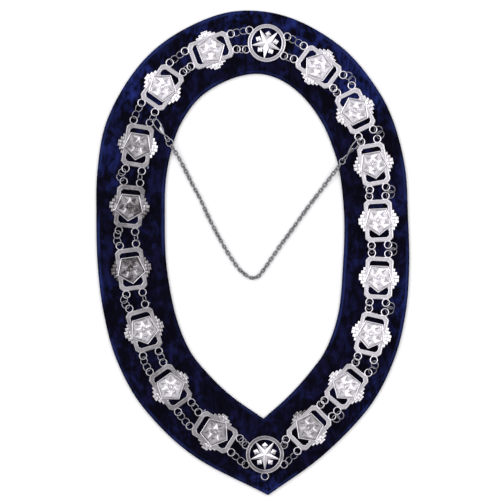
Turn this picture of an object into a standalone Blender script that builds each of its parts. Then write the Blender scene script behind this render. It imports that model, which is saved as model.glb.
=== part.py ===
"""Chain collar: a padded velvet band with linked metal plaques and a thin safety chain.

The collar lies flat on a table. X runs across it, Y up the length, Z away from the table.
Sizes are in millimetres and turned into metres when a mesh is made.
Shares of the width and length are read from the photograph by hand.
"""
import math

import bmesh
import bpy
import numpy as np
from mathutils import Matrix, Vector

MM = 0.001
TAU = 2.0 * math.pi

# Whole collar
COLLAR_LENGTH = 485.0
COLLAR_WIDTH = 313.4
CLEARANCE = 0.3

# Velvet band
VELVET_THICKNESS = 3.0
VELVET_EDGE_ROUNDING = 0.8
VELVET_STATIONS = 46

# Plaque, in its own frame: Y towards the slot, Z up
PLAQUE_WIDTH = 28.0
PLAQUE_HEIGHT = 42.6
PLAQUE_THICKNESS = 3.1
PLAQUE_SIDE_BAR = 4.2
PLAQUE_END_BAR = 4.6
PLAQUE_CORNER = 3.6
PENTAGON_RADIUS = 15.1
PENTAGON_RIM = 1.3
PENTAGON_RISE = 0.9
PENTAGON_FLOOR = 3.2
STAR_RISE = 1.7
RAY_HEIGHT = 3.4
RAY_STEP = 2.05
RAY_THICKNESS = 2.3

# Loops cast on the plaques and roundels
LOOP_DIAMETER = 8.4
LOOP_WALL = 1.2
LOOP_THICKNESS = 1.1
LOOP_SPACING = 16.4
LOOP_REACH = 3.2
LOOP_SIDES = 8

# Roundels
ROUNDEL_DIAMETER = 38.0
ROUNDEL_RIM = 4.0
ROUNDEL_THICKNESS = 3.1
ROUNDEL_FLOOR = 2.0
ROUNDEL_STAR_RISE = 1.5
ROUNDEL_LOOP_REACH = 2.5
ROUNDEL_LOOP_ANGLE = 27.0
# Shares of the radius inside the rim
ROUNDEL_VALLEY = 0.33
ROUNDEL_WEB = 0.50
ROUNDEL_PEAK_PLACE = 0.62
ROUNDEL_PEAK_HALF = 0.20

# Jump rings
RING_DIAMETER = 9.0
RING_WIRE = 0.95
RING_SIDES = 10
WIRE_SIDES = 5
RING_TILT = 28.0
RING_STEEPER = 32.0
RING_PLAY = 0.12
PAIR_OVERLAP = 0.28
GOOD_STRAIN = 0.02

# How far a loose link is lifted where it lies over its neighbour
OVERLAP_LIFT = 1.9

# Clips and their end rings
CLIP_LENGTH = 28.8
CLIP_WIDTH = 7.6
CLIP_WIRE = 1.2
CLIP_EYE_DIAMETER = 5.0
CLIP_TONGUE_WIDTH = 2.4
END_RING_LEFT_DIAMETER = 8.6
END_RING_RIGHT_DIAMETER = 7.0
END_RING_WIRE = 1.0

# Thin safety chain
CHAIN_DIAMETER = 3.4

# Velvet outline, from the bottom point up the left side, over the top and down the right
# side. Shares of the collar's width and length from its centre.
# columns: outer across, outer up, inner across, inner up
OUTLINE = (
    (0.049, -0.500, 0.034, -0.342),
    (-0.189, -0.419, -0.069, -0.295),
    (-0.349, -0.320, -0.148, -0.246),
    (-0.435, -0.221, -0.206, -0.196),
    (-0.477, -0.122, -0.249, -0.122),
    (-0.496, -0.023, -0.276, -0.023),
    (-0.500, 0.076, -0.281, 0.076),
    (-0.496, 0.175, -0.277, 0.154),
    (-0.466, 0.274, -0.255, 0.224),
    (-0.381, 0.373, -0.224, 0.274),
    (-0.271, 0.442, -0.166, 0.323),
    (-0.117, 0.491, -0.079, 0.357),
    (0.017, 0.500, 0.010, 0.370),
    (0.151, 0.478, 0.087, 0.358),
    (0.290, 0.422, 0.160, 0.323),
    (0.388, 0.348, 0.217, 0.274),
    (0.448, 0.274, 0.252, 0.224),
    (0.487, 0.175, 0.278, 0.165),
    (0.496, 0.076, 0.292, 0.072),
    (0.500, -0.023, 0.288, -0.025),
    (0.489, -0.122, 0.274, -0.122),
    (0.451, -0.221, 0.236, -0.196),
    (0.370, -0.320, 0.183, -0.246),
    (0.222, -0.419, 0.115, -0.295),
    (0.049, -0.500, 0.034, -0.342),
)

# Links in their order round the collar, from the top roundel down the left side to the
# bottom roundel and up the right side. The direction points along the link towards the
# top roundel, and slot says whether the slot side faces it too. A roundel has its turn.
# columns: name, across, up, direction in degrees, slot towards top, end that is lifted
LINKS = (
    ("roundel_top", 0.046, 0.433, -10.0, None, None),
    ("plaque_left_1", -0.135, 0.418, 20.7, False, None),
    ("plaque_left_2", -0.290, 0.340, 55.3, False, None),
    ("plaque_left_3", -0.366, 0.224, 81.4, True, None),
    ("plaque_left_4", -0.395, 0.099, 84.6, True, None),
    ("plaque_left_5", -0.390, -0.031, 98.4, True, None),
    ("plaque_left_6", -0.349, -0.160, 106.3, True, None),
    ("plaque_left_7", -0.263, -0.281, 125.9, True, None),
    ("plaque_left_8", -0.119, -0.373, 145.8, True, None),
    ("roundel_bottom", 0.042, -0.418, 2.0, None, None),
    ("plaque_right_8", 0.180, -0.360, 45.0, True, "bottom"),
    ("plaque_right_7", 0.298, -0.276, 50.7, True, "bottom"),
    ("plaque_right_6", 0.378, -0.168, 76.8, True, "bottom"),
    ("plaque_right_5", 0.402, -0.052, 87.1, True, "bottom"),
    ("plaque_right_4", 0.401, 0.066, 92.8, True, "bottom"),
    ("plaque_right_3", 0.385, 0.182, 100.2, True, "bottom"),
    ("plaque_right_2", 0.326, 0.292, 116.0, False, "bottom"),
    ("plaque_right_1", 0.211, 0.382, 143.2, False, "bottom"),
)

# Clips: the jump ring each one hooks, and how it lies.
# columns: side, after link, bearing of the clip, offset from ring, lift, slope, roll
CLIPS = (
    ("left", "plaque_left_2", -55.0, 5.6, 1.7, -6.5, -24.0),
    ("right", "plaque_right_3", -128.0, 4.6, 3.0, -11.0, -45.0),
)

# Route of the thin chain between its end rings: shares of width and length, and the
# height of its middle above the table in chain diameters.
CHAIN_ROUTE = (
    (-0.232, 0.191, 0.75),
    (-0.200, 0.150, 0.52),
    (-0.168, 0.111, 0.51),
    (-0.137, 0.068, 0.51),
    (-0.098, 0.020, 0.51),
    (-0.073, -0.007, 0.51),
    (-0.055, -0.025, 0.51),
    (-0.031, -0.041, 0.51),
    (0.000, -0.054, 0.51),
    (0.019, -0.047, 0.51),
    (0.039, -0.031, 0.51),
    (0.087, 0.014, 0.51),
    (0.131, 0.053, 0.51),
    (0.183, 0.100, 0.51),
    (0.230, 0.140, 0.62),
    (0.250, 0.158, 1.08),
)
CHAIN_POINTS = 40

RING_RADIUS = (RING_DIAMETER - RING_WIRE) / 2.0
LOOP_HOLE = (LOOP_DIAMETER / 2.0 - LOOP_WALL) / math.cos(math.pi / LOOP_SIDES)
LOOP_RADIUS = (LOOP_DIAMETER / 2.0 + LOOP_HOLE) / 2.0
LOOP_WIRE = math.hypot(LOOP_DIAMETER / 2.0 - LOOP_HOLE, LOOP_THICKNESS)
LOOP_MIDDLE = PLAQUE_THICKNESS - LOOP_THICKNESS / 2.0
LINK_BASE = VELVET_THICKNESS + CLEARANCE


def material(name, color, metallic, roughness):
    made = bpy.data.materials.new(name)
    made.use_nodes = True
    shader = made.node_tree.nodes["Principled BSDF"]
    shader.inputs["Base Color"].default_value = (*color, 1.0)
    shader.inputs["Metallic"].default_value = metallic
    shader.inputs["Roughness"].default_value = roughness
    made.diffuse_color = (*color, 1.0)
    return made


def add_mesh(name, points, faces):
    mesh = bpy.data.meshes.new(name)
    mesh.from_pydata([tuple(point) for point in points], [], faces)
    mesh.update()
    made = bpy.data.objects.new(name, mesh)
    bpy.context.scene.collection.objects.link(made)
    return made


def prism(outline, low, high, hole=None):
    """Upright prism on an outline that runs anticlockwise, with a hole of as many corners."""
    count = len(outline)
    points = [(x, y, low) for x, y in outline] + [(x, y, high) for x, y in outline]
    walls = [(i, (i + 1) % count, count + (i + 1) % count, count + i) for i in range(count)]
    if hole is None:
        ends = [tuple(reversed(range(count))), tuple(range(count, 2 * count))]
        return add_mesh("prism", points, walls + ends)
    points += [(x, y, low) for x, y in hole] + [(x, y, high) for x, y in hole]
    faces = list(walls)
    for i in range(count):
        j = (i + 1) % count
        faces.append((2 * count + j, 2 * count + i, 3 * count + i, 3 * count + j))
        faces.append((count + i, count + j, 3 * count + j, 3 * count + i))
        faces.append((j, i, 2 * count + i, 2 * count + j))
    return add_mesh("prism", points, faces)


def pyramid(outline, low, peak, centre=(0.0, 0.0)):
    count = len(outline)
    points = [(x, y, low) for x, y in outline] + [(centre[0], centre[1], peak)]
    faces = [(i, (i + 1) % count, count) for i in range(count)]
    return add_mesh("pyramid", points, faces + [tuple(reversed(range(count)))])


def peaked(outline, low, shoulder, peak, centre=(0.0, 0.0)):
    """Upright prism that ends in a pyramid."""
    count = len(outline)
    points = [(x, y, low) for x, y in outline] + [(x, y, shoulder) for x, y in outline]
    points.append((centre[0], centre[1], peak))
    faces = [(i, (i + 1) % count, count + (i + 1) % count, count + i) for i in range(count)]
    faces += [(count + i, count + (i + 1) % count, 2 * count) for i in range(count)]
    return add_mesh("peaked", points, faces + [tuple(reversed(range(count)))])


def round_outline(radius, sides, centre=(0.0, 0.0), phase=0.0):
    angles = [phase + TAU * i / sides for i in range(sides)]
    return [(centre[0] + radius * math.cos(a), centre[1] + radius * math.sin(a)) for a in angles]


def star_outline(tips, tip_radius, valley_radius, first):
    """Corners of a star, with its first tip at an angle in degrees."""
    corners = []
    for i in range(2 * tips):
        angle = math.radians(first + 180.0 * i / tips)
        radius = tip_radius if i % 2 == 0 else valley_radius
        corners.append((radius * math.cos(angle), radius * math.sin(angle)))
    return corners


def cut_corner_outline(half_width, half_height, cut):
    corners = []
    for sx, sy, across_first in ((1, -1, True), (1, 1, False), (-1, 1, True), (-1, -1, False)):
        flat = (sx * (half_width - cut), sy * half_height)
        upright = (sx * half_width, sy * (half_height - cut))
        corners += [flat, upright] if across_first else [upright, flat]
    return corners


def combine(base, others, operation):
    """Apply one boolean after another to a mesh and remove the tools."""
    for other in others:
        step = base.modifiers.new("step", "BOOLEAN")
        step.operation = operation
        step.solver = "EXACT"
        step.object = other
        graph = bpy.context.evaluated_depsgraph_get()
        mesh = bpy.data.meshes.new_from_object(base.evaluated_get(graph))
        base.modifiers.clear()
        base.data = mesh
        bpy.data.objects.remove(other)
    return base


def merge_flat(made):
    """Join the flat faces that the booleans have split."""
    shape = bmesh.new()
    shape.from_mesh(made.data)
    bmesh.ops.remove_doubles(shape, verts=shape.verts, dist=0.0005)
    bmesh.ops.dissolve_limit(shape, angle_limit=math.radians(0.5), verts=shape.verts,
                             edges=shape.edges)
    bmesh.ops.triangulate(shape, faces=[face for face in shape.faces if len(face.verts) > 4])
    shape.to_mesh(made.data)
    shape.free()
    return made


def loop_solid(centre):
    outer = round_outline(LOOP_DIAMETER / 2.0, LOOP_SIDES, centre, TAU / 4.0)
    hole = round_outline(LOOP_HOLE, LOOP_SIDES, centre, TAU / 4.0)
    low = LOOP_MIDDLE - LOOP_THICKNESS / 2.0
    return prism(outer, low, LOOP_MIDDLE + LOOP_THICKNESS / 2.0, hole)


def ray_outline(side):
    """Stepped outline of the three pairs of rays that stick out past a side bar."""
    inside = PLAQUE_WIDTH / 2.0 - PLAQUE_SIDE_BAR / 2.0
    edge = PLAQUE_WIDTH / 2.0
    upper = []
    for i in range(3):
        reach = edge + RAY_STEP * (3 - i)
        upper += [(reach, RAY_HEIGHT * i), (reach, RAY_HEIGHT * (i + 1))]
    upper = upper[1:] + [(inside, RAY_HEIGHT * 3)]
    lower = [(x, -y) for x, y in reversed(upper)]
    outline = lower + upper
    if side < 0:
        outline = [(-x, y) for x, y in reversed(outline)]
    return outline


def pentagon(radius):
    return round_outline(radius, 5, phase=math.radians(54.0))


def plaque_loops():
    y = PLAQUE_HEIGHT / 2.0 + LOOP_REACH
    x = LOOP_SPACING / 2.0
    return {"slot": ((-x, y), (x, y)), "point": ((-x, -y), (x, -y))}


def roundel_loops(with_pendant):
    radius = ROUNDEL_DIAMETER / 2.0 + ROUNDEL_LOOP_REACH
    turns = [ROUNDEL_LOOP_ANGLE, -ROUNDEL_LOOP_ANGLE]
    turns += [180.0 - ROUNDEL_LOOP_ANGLE, 180.0 + ROUNDEL_LOOP_ANGLE]
    if with_pendant:
        turns.append(270.0)
    angles = [math.radians(turn) for turn in turns]
    return [(radius * math.cos(a), radius * math.sin(a)) for a in angles]


def plaque_mesh():
    half_width = PLAQUE_WIDTH / 2.0
    half_height = PLAQUE_HEIGHT / 2.0
    frame = prism(cut_corner_outline(half_width, half_height, PLAQUE_CORNER), 0.0, PLAQUE_THICKNESS)
    inner_width = half_width - PLAQUE_SIDE_BAR
    inner_height = half_height - PLAQUE_END_BAR
    window_cut = PLAQUE_CORNER * 0.62
    window = cut_corner_outline(inner_width, inner_height, window_cut)
    combine(frame, [prism(window, -1.0, PLAQUE_THICKNESS + 1.0)], "DIFFERENCE")
    top = PLAQUE_THICKNESS + PENTAGON_RISE
    rim_inside = PENTAGON_RADIUS - PENTAGON_RIM / math.cos(TAU / 10.0)
    field = prism(pentagon(PENTAGON_RADIUS), 0.0, top)
    recess = prism(pentagon(rim_inside), PENTAGON_FLOOR, top + 1.0)
    rays = [prism(ray_outline(side), 0.0, RAY_THICKNESS) for side in (1, -1)]
    combine(frame, rays + [field], "UNION")
    combine(frame, [recess], "DIFFERENCE")
    tip = rim_inside * math.cos(TAU / 10.0) * 0.95
    star = pyramid(star_outline(5, tip, tip * 0.42, 90.0), PENTAGON_FLOOR - 0.05,
                   PENTAGON_FLOOR + STAR_RISE)
    loops = [loop_solid(centre) for pair in plaque_loops().values() for centre in pair]
    combine(frame, [star] + loops, "UNION")
    return merge_flat(frame)


def roundel_mesh(with_pendant):
    """Open wheel: a rim, a faceted star on it, a small web and five square peaks."""
    radius = ROUNDEL_DIAMETER / 2.0
    inside = radius - ROUNDEL_RIM
    body = prism(round_outline(radius, 24), 0.0, ROUNDEL_THICKNESS,
                 round_outline(inside / math.cos(math.pi / 24), 24))
    star = star_outline(5, inside + ROUNDEL_RIM * 0.4, inside * ROUNDEL_VALLEY, 270.0)
    step = ROUNDEL_FLOOR * 0.1
    web = round_outline(inside * ROUNDEL_WEB, 10)
    added = [prism(web, step, ROUNDEL_FLOOR * 0.7),
             peaked(star, step * 2.0, ROUNDEL_FLOOR, ROUNDEL_FLOOR + ROUNDEL_STAR_RISE)]
    half = inside * ROUNDEL_PEAK_HALF
    for i in range(5):
        angle = math.radians(90.0 + 72.0 * i)
        reach = inside * ROUNDEL_PEAK_PLACE
        middle = (reach * math.cos(angle), reach * math.sin(angle))
        square = round_outline(half, 4, middle, angle)
        added.append(peaked(square, 0.0, ROUNDEL_FLOOR * 0.9, ROUNDEL_FLOOR * 1.4, middle))
    loops = [loop_solid(centre) for centre in roundel_loops(with_pendant)]
    combine(body, added + loops, "UNION")
    return merge_flat(body)


def smooth_path(points, count):
    """Points at even steps along a smooth curve through the given ones."""
    pts = [np.array(point, float) for point in points]
    pts = [2 * pts[0] - pts[1]] + pts + [2 * pts[-1] - pts[-2]]
    dense = []
    for i in range(1, len(pts) - 2):
        a, b, c, d = pts[i - 1:i + 3]
        for t in np.linspace(0.0, 1.0, 12, endpoint=False):
            near = b + 0.5 * t * (c - a)
            bend = 0.5 * t * t * (2 * a - 5 * b + 4 * c - d)
            dense.append(near + bend + 0.5 * t ** 3 * (3 * b - a - 3 * c + d))
    dense.append(pts[-2])
    dense = np.array(dense)
    steps = np.linalg.norm(np.diff(dense[:, :min(3, dense.shape[1])], axis=0), axis=1)
    along = np.concatenate([[0.0], np.cumsum(steps)])
    wanted = np.linspace(0.0, along[-1], count)
    return np.stack([np.interp(wanted, along, dense[:, k]) for k in range(dense.shape[1])], axis=1)


def velvet_outline():
    rows = np.array(OUTLINE) * np.array([COLLAR_WIDTH, COLLAR_LENGTH] * 2)
    path = smooth_path(rows, VELVET_STATIONS + 1)[:-1]
    outer = path[:, :2]
    middle = (outer.max(axis=0) + outer.min(axis=0)) / 2.0
    size = outer.max(axis=0) - outer.min(axis=0)
    fit = np.array([COLLAR_WIDTH, COLLAR_LENGTH]) / size
    return (outer - middle) * fit, (path[:, 2:] - middle) * fit


def velvet_mesh():
    outer, inner = velvet_outline()
    rounding = VELVET_EDGE_ROUNDING
    top = VELVET_THICKNESS
    # columns: edge the point belongs to, inset from it, height
    section = (
        ("outer", rounding, 0.0),
        ("outer", 0.0, rounding),
        ("outer", 0.0, top - rounding),
        ("outer", rounding, top),
        ("inner", rounding, top),
        ("inner", 0.0, top - rounding),
        ("inner", 0.0, rounding),
        ("inner", rounding, 0.0),
    )
    points = []
    for o, i in zip(outer, inner):
        across = (i - o) / np.linalg.norm(i - o)
        for edge, inset, height in section:
            spot = o + across * inset if edge == "outer" else i - across * inset
            points.append((spot[0], spot[1], height))
    rows, count = len(section), len(outer)
    faces = []
    for s in range(count):
        t = (s + 1) % count
        for k in range(rows):
            m = (k + 1) % rows
            faces.append((s * rows + k, s * rows + m, t * rows + m, t * rows + k))
    return add_mesh("velvet", points, faces)


def link_matrix(kind, spot, turn, lifted):
    """Place of a link: flat on the velvet, or with one end lifted over its neighbour."""
    place = Matrix.Translation((spot[0], spot[1], LINK_BASE)) @ Matrix.Rotation(turn, 4, "Z")
    if kind == "roundel" or lifted == 0:
        return place
    half = PLAQUE_HEIGHT / 2.0
    pitch = lifted * math.asin(OVERLAP_LIFT / (PLAQUE_HEIGHT + LOOP_REACH))
    to_pivot = Matrix.Translation((0.0, -lifted * half, 0.0))
    return place @ to_pivot @ Matrix.Rotation(pitch, 4, "X") @ to_pivot.inverted()


def first_links():
    """Links as read from the photograph, with the loops that meet each neighbour."""
    links = []
    for name, across, up, direction, slot, lifted in LINKS:
        spot = np.array([across * COLLAR_WIDTH, up * COLLAR_LENGTH])
        if slot is None:
            loops = roundel_loops(name == "roundel_bottom")
            right_upper, right_lower, left_upper, left_lower = loops[:4]
            if name == "roundel_top":
                before = {"outer": right_upper, "inner": right_lower}
                after = {"outer": left_upper, "inner": left_lower}
            else:
                before = {"outer": left_lower, "inner": left_upper}
                after = {"outer": right_lower, "inner": right_upper}
            links.append(dict(name=name, kind="roundel", spot=spot, turn=math.radians(direction),
                              before=before, after=after, lifted=0))
            continue
        left = "left" in name
        turn = math.radians(direction - 90.0 if slot else direction + 90.0)
        ends = plaque_loops()
        towards_top = ends["slot"] if slot else ends["point"]
        towards_bottom = ends["point"] if slot else ends["slot"]
        # Seen along the direction, the neck lies right of a left link, left of a right one.
        neck_is_plus_x = left if slot else not left
        pick = 1 if neck_is_plus_x else 0
        top_end = {"inner": towards_top[pick], "outer": towards_top[1 - pick]}
        bottom_end = {"inner": towards_bottom[pick], "outer": towards_bottom[1 - pick]}
        sign = 0
        if lifted == "bottom":
            sign = -1 if slot else 1
        links.append(dict(name=name, kind="plaque", spot=spot, turn=turn, lifted=sign,
                          before=top_end if left else bottom_end,
                          after=bottom_end if left else top_end))
    return links


def rotated(point, turn):
    c, s = math.cos(turn), math.sin(turn)
    return np.array([c * point[0] - s * point[1], s * point[0] + c * point[1]])


def settle(links):
    """Shift the links as little as it takes for the rings to reach and the loops to clear."""
    reach = 2.0 * (RING_RADIUS + LOOP_RADIUS) - RING_WIRE - LOOP_WIRE - 9.0 * RING_PLAY
    pair_reach = reach + 2.0 * RING_RADIUS - RING_WIRE - RING_PLAY
    for _ in range(200):
        for i, one in enumerate(links):
            two = links[(i + 1) % len(links)]
            over = one["lifted"] != 0 or two["lifted"] != 0
            if two["name"] == "roundel_top":
                over = False
            least = LOOP_DIAMETER * 0.66 if over else LOOP_DIAMETER + CLEARANCE
            for side, most in (("inner", reach), ("outer", pair_reach)):
                arm_one = rotated(one["after"][side], one["turn"])
                arm_two = rotated(two["before"][side], two["turn"])
                gap = two["spot"] + arm_two - one["spot"] - arm_one
                distance = float(np.linalg.norm(gap))
                wrong = 0.0
                if distance > most:
                    wrong = distance - most
                elif distance < least:
                    wrong = distance - least
                push = gap / distance * wrong
                for link, arm, sign in ((one, arm_one, 1.0), (two, arm_two, -1.0)):
                    link["spot"] = link["spot"] + 0.25 * sign * push
                    twist = arm[0] * push[1] - arm[1] * push[0]
                    link["turn"] += 0.2 * sign * twist / (PLAQUE_HEIGHT ** 2 / 2.0)
    return links


def circle_track(centre, turned, radius, wire, sides=RING_SIDES, phase=0.0):
    """Middle line of a ring as it is meshed: points along the sides of a polygon."""
    corners = np.array([(x, y, 0.0) for x, y in round_outline(radius, sides, phase=phase)])
    shares = np.linspace(0.0, 1.0, 4, endpoint=False)[:, None]
    local = np.concatenate([corners[i] * (1 - shares) + corners[(i + 1) % sides] * shares
                            for i in range(sides)])
    world = local @ np.array(turned).T + np.array(centre)
    return dict(points=world, wire=wire, centre=np.array(centre), turned=np.array(turned),
                radius=radius)


def bar_track(ends, wire):
    shares = np.linspace(0.0, 1.0, 12)[:, None]
    points = np.array(ends[0]) * (1 - shares) + np.array(ends[1]) * shares
    return dict(points=points, wire=wire)


def room(one, two):
    """Least distance between the surfaces of two wires."""
    apart = one["points"][:, None, :] - two["points"][None, :, :]
    return math.sqrt(float((apart ** 2).sum(axis=2).min())) - (one["wire"] + two["wire"]) / 2.0


def is_linked(ring, loop):
    """True if the ring passes through the disc of the loop an odd number of times."""
    axis = loop["turned"][:, 2]
    offset = ring["points"] - loop["centre"]
    height = offset @ axis
    following = np.roll(height, -1)
    crossing = np.nonzero((height > 0) != (following > 0))[0]
    inside = 0
    for k in crossing:
        share = height[k] / (height[k] - following[k])
        spot = offset[k] * (1 - share) + np.roll(offset, -1, axis=0)[k] * share
        inside += int(np.linalg.norm(spot - axis * (spot @ axis)) < loop["radius"])
    return inside % 2 == 1


def turned_by(bearing, tilt, lean):
    """Axes of a ring: its first axis on a bearing, tilted about it, then leaning along it."""
    turn = Matrix.Rotation(bearing, 3, "Z") @ Matrix.Rotation(lean, 3, "Y")
    return np.array(turn @ Matrix.Rotation(tilt, 3, "X"))


def rings_from(values, radius, wire):
    """One ring for every six values: centre, bearing, tilt and lean."""
    rings = []
    for k in range(0, len(values), 6):
        turned = turned_by(*values[k + 3:k + 6])
        rings.append(circle_track(values[k:k + 3], turned, radius, wire))
    return rings


def strain(values, start, radius, wire, chain, loose):
    """How badly placed a run of rings is: too little room, or too far from where it began."""
    rings = rings_from(values, radius, wire)
    row = [chain[0]] + rings + ([chain[1]] if chain[1] else [])
    total = 0.0
    linked = [(row[i], row[i + 1]) for i in range(len(row) - 1)]
    linked += [(ring, hook) for ring in rings for hook in chain[2]]
    for one, two in linked:
        if two is rings[-1] and one is not row[0]:
            total += (room(one, two) + PAIR_OVERLAP) ** 2
        else:
            total += max(0.0, RING_PLAY - room(one, two)) ** 2
        if not is_linked(one, two):
            total += 9.0
    if len(rings) == 2:
        total += max(0.0, RING_PLAY - room(row[0], rings[1])) ** 2
        total += max(0.0, RING_PLAY - room(rings[0], row[3])) ** 2
    for ring in rings:
        low = ring["points"][:, 2].min() - wire / 2.0 - VELVET_THICKNESS - 0.2
        total += 2.0 * max(0.0, -low) ** 2
        for bar in loose:
            total += max(0.0, RING_PLAY - room(ring, bar)) ** 2
    drift = (np.array(values) - np.array(start)).reshape(-1, 6)
    total += 0.0004 * float((drift[:, :3] ** 2).sum()) + 0.02 * float((drift[:, 3:] ** 2).sum())
    return total


def place_rings(start, radius, wire, chain, loose):
    """Search round the first guess for the place where a run of rings has most room."""
    best = list(start)
    score = strain(best, start, radius, wire, chain, loose)
    step = 0.5
    while step > 0.02:
        better = False
        for k in range(len(best)):
            size = step if k % 6 < 3 else step * 0.25
            for sign in (1.0, -1.0):
                trial = list(best)
                trial[k] += sign * size
                value = strain(trial, start, radius, wire, chain, loose)
                if value < score - 1e-7:
                    best, score, better = trial, value, True
                    break
        if not better:
            step *= 0.5
    return rings_from(best, radius, wire), score


def torus(ring):
    """Mesh of a ring from its middle line, with a five sided wire."""
    points, faces = [], []
    for i in range(RING_SIDES):
        angle = TAU * i / RING_SIDES
        for k in range(WIRE_SIDES):
            bend = TAU * k / WIRE_SIDES
            out = ring["radius"] + ring["wire"] / 2.0 * math.cos(bend)
            local = np.array([out * math.cos(angle), out * math.sin(angle),
                              ring["wire"] / 2.0 * math.sin(bend)])
            points.append(ring["turned"] @ local + ring["centre"])
    for i in range(RING_SIDES):
        j = (i + 1) % RING_SIDES
        for k in range(WIRE_SIDES):
            m = (k + 1) % WIRE_SIDES
            faces.append((i * WIRE_SIDES + k, j * WIRE_SIDES + k, j * WIRE_SIDES + m,
                          i * WIRE_SIDES + m))
    return points, faces


def finish(made, name, look, matrix=None, smooth=False):
    """Name a solid, put it in its place in metres and give it its material."""
    mesh = made.data
    mesh.transform(Matrix.Scale(MM, 4) @ (matrix or Matrix.Identity(4)))
    for polygon in mesh.polygons:
        polygon.use_smooth = smooth
    if smooth:
        mesh.set_sharp_from_angle(angle=math.radians(75.0))
    mesh.materials.clear()
    mesh.materials.append(look)
    made.name = name
    mesh.name = name
    return made


def copy_of(source):
    made = source.copy()
    made.data = source.data.copy()
    bpy.context.scene.collection.objects.link(made)
    return made


def swept(path, wire, sides, closed):
    """Points and faces of a wire along a flat path."""
    count = len(path)
    points, faces = [], []
    for i in range(count):
        ahead = path[(i + 1) % count] if closed or i < count - 1 else path[i]
        behind = path[i - 1] if closed or i > 0 else path[i]
        along = np.array(ahead, float) - np.array(behind, float)
        along /= np.linalg.norm(along)
        side = np.array([-along[1], along[0]])
        for k in range(sides):
            bend = TAU * k / sides
            spot = np.array(path[i]) + side * wire / 2.0 * math.cos(bend)
            points.append((spot[0], spot[1], wire / 2.0 * math.sin(bend)))
    for i in range(count if closed else count - 1):
        j = (i + 1) % count
        for k in range(sides):
            m = (k + 1) % sides
            faces.append((i * sides + k, i * sides + m, j * sides + m, j * sides + k))
    if not closed:
        faces.append(tuple(range(sides))[::-1])
        faces.append(tuple(range((count - 1) * sides, count * sides)))
    return points, faces


def clip_path():
    """Middle line of the hook: round at the hooking end at the origin, narrow at its eye."""
    half = (CLIP_WIDTH - CLIP_WIRE) / 2.0
    eye = (CLIP_EYE_DIAMETER - CLIP_WIRE) / 2.0
    neck = CLIP_LENGTH - CLIP_WIRE - CLIP_EYE_DIAMETER - half
    top = [(-half * math.cos(a), half * math.sin(a))
           for a in np.linspace(0.0, TAU / 4.0, 4, endpoint=False)]
    side = [(0.0, half), (neck * 0.33, half * 1.04), (neck * 0.7, half * 0.66), (neck, eye * 0.62)]
    upper = top + side
    lower = [(x, -y) for x, y in reversed(upper[1:])]
    return upper + lower, neck, eye


def clip_mesh():
    path, neck, eye = clip_path()
    points, faces = swept(list(reversed(path)), CLIP_WIRE, WIRE_SIDES, True)
    body = add_mesh("clip", points, faces)
    eye_ring = dict(radius=eye, wire=CLIP_WIRE, turned=np.identity(3),
                    centre=np.array([neck + eye, 0.0, 0.0]))
    eye_points, eye_faces = torus(eye_ring)
    width = CLIP_TONGUE_WIDTH / 2.0
    start = neck * 0.30
    tongue = prism([(start, -width), (neck + 0.3, -width * 0.7), (neck + 0.3, width * 0.7),
                    (start, width)], -CLIP_WIRE * 0.32, CLIP_WIRE * 0.32)
    combine(body, [add_mesh("eye", eye_points, eye_faces), tongue], "UNION")
    return merge_flat(body), neck + eye


def clip_matrix(ring, bearing, offset, lift, slope, roll):
    turn = Matrix.Rotation(math.radians(bearing), 4, "Z")
    along = turn @ Vector((offset, 0.0, 0.0))
    spot = Vector(ring) + along + Vector((0.0, 0.0, lift))
    tilt = Matrix.Rotation(math.radians(-slope), 4, "Y") @ Matrix.Rotation(math.radians(roll), 4, "X")
    return Matrix.Translation(spot) @ turn @ tilt


def link_loop(link, local):
    middle = link["matrix"] @ Vector((local[0], local[1], LOOP_MIDDLE))
    turned = np.array(link["matrix"].to_3x3())
    return circle_track(middle, turned, LOOP_RADIUS, LOOP_WIRE, LOOP_SIDES, TAU / 4.0)


def end_bars(link, local):
    """What a ring must not touch on the link that it holds: its end bar or its rim."""
    z = PLAQUE_THICKNESS / 2.0
    wire = PLAQUE_THICKNESS
    bars = []
    if link["kind"] == "roundel":
        angle = math.atan2(local[1], local[0])
        radius = ROUNDEL_DIAMETER / 2.0 - wire / 2.0
        bars.append([(radius * math.cos(angle + d), radius * math.sin(angle + d), z)
                     for d in (-0.4, 0.4)])
    else:
        x = PLAQUE_WIDTH / 2.0 - PLAQUE_CORNER
        for inset in (wire / 2.0, PLAQUE_END_BAR - wire / 2.0):
            y = math.copysign(PLAQUE_HEIGHT / 2.0 - inset, local[1])
            bars.append([(-x, y, z), (x, y, z)])
        x, side = math.copysign(x, local[0]), math.copysign(PLAQUE_WIDTH - wire, local[0]) / 2.0
        high = math.copysign(PLAQUE_HEIGHT / 2.0 - wire / 2.0, local[1])
        low = math.copysign(PLAQUE_HEIGHT / 2.0 - PLAQUE_CORNER, local[1])
        bars.append([(x, high, z), (side, low, z)])
        bars.append([(side, low, z), (side, low * 0.4, z)])
    return [bar_track([link["matrix"] @ Vector(end) for end in ends], wire) for ends in bars]


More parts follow.
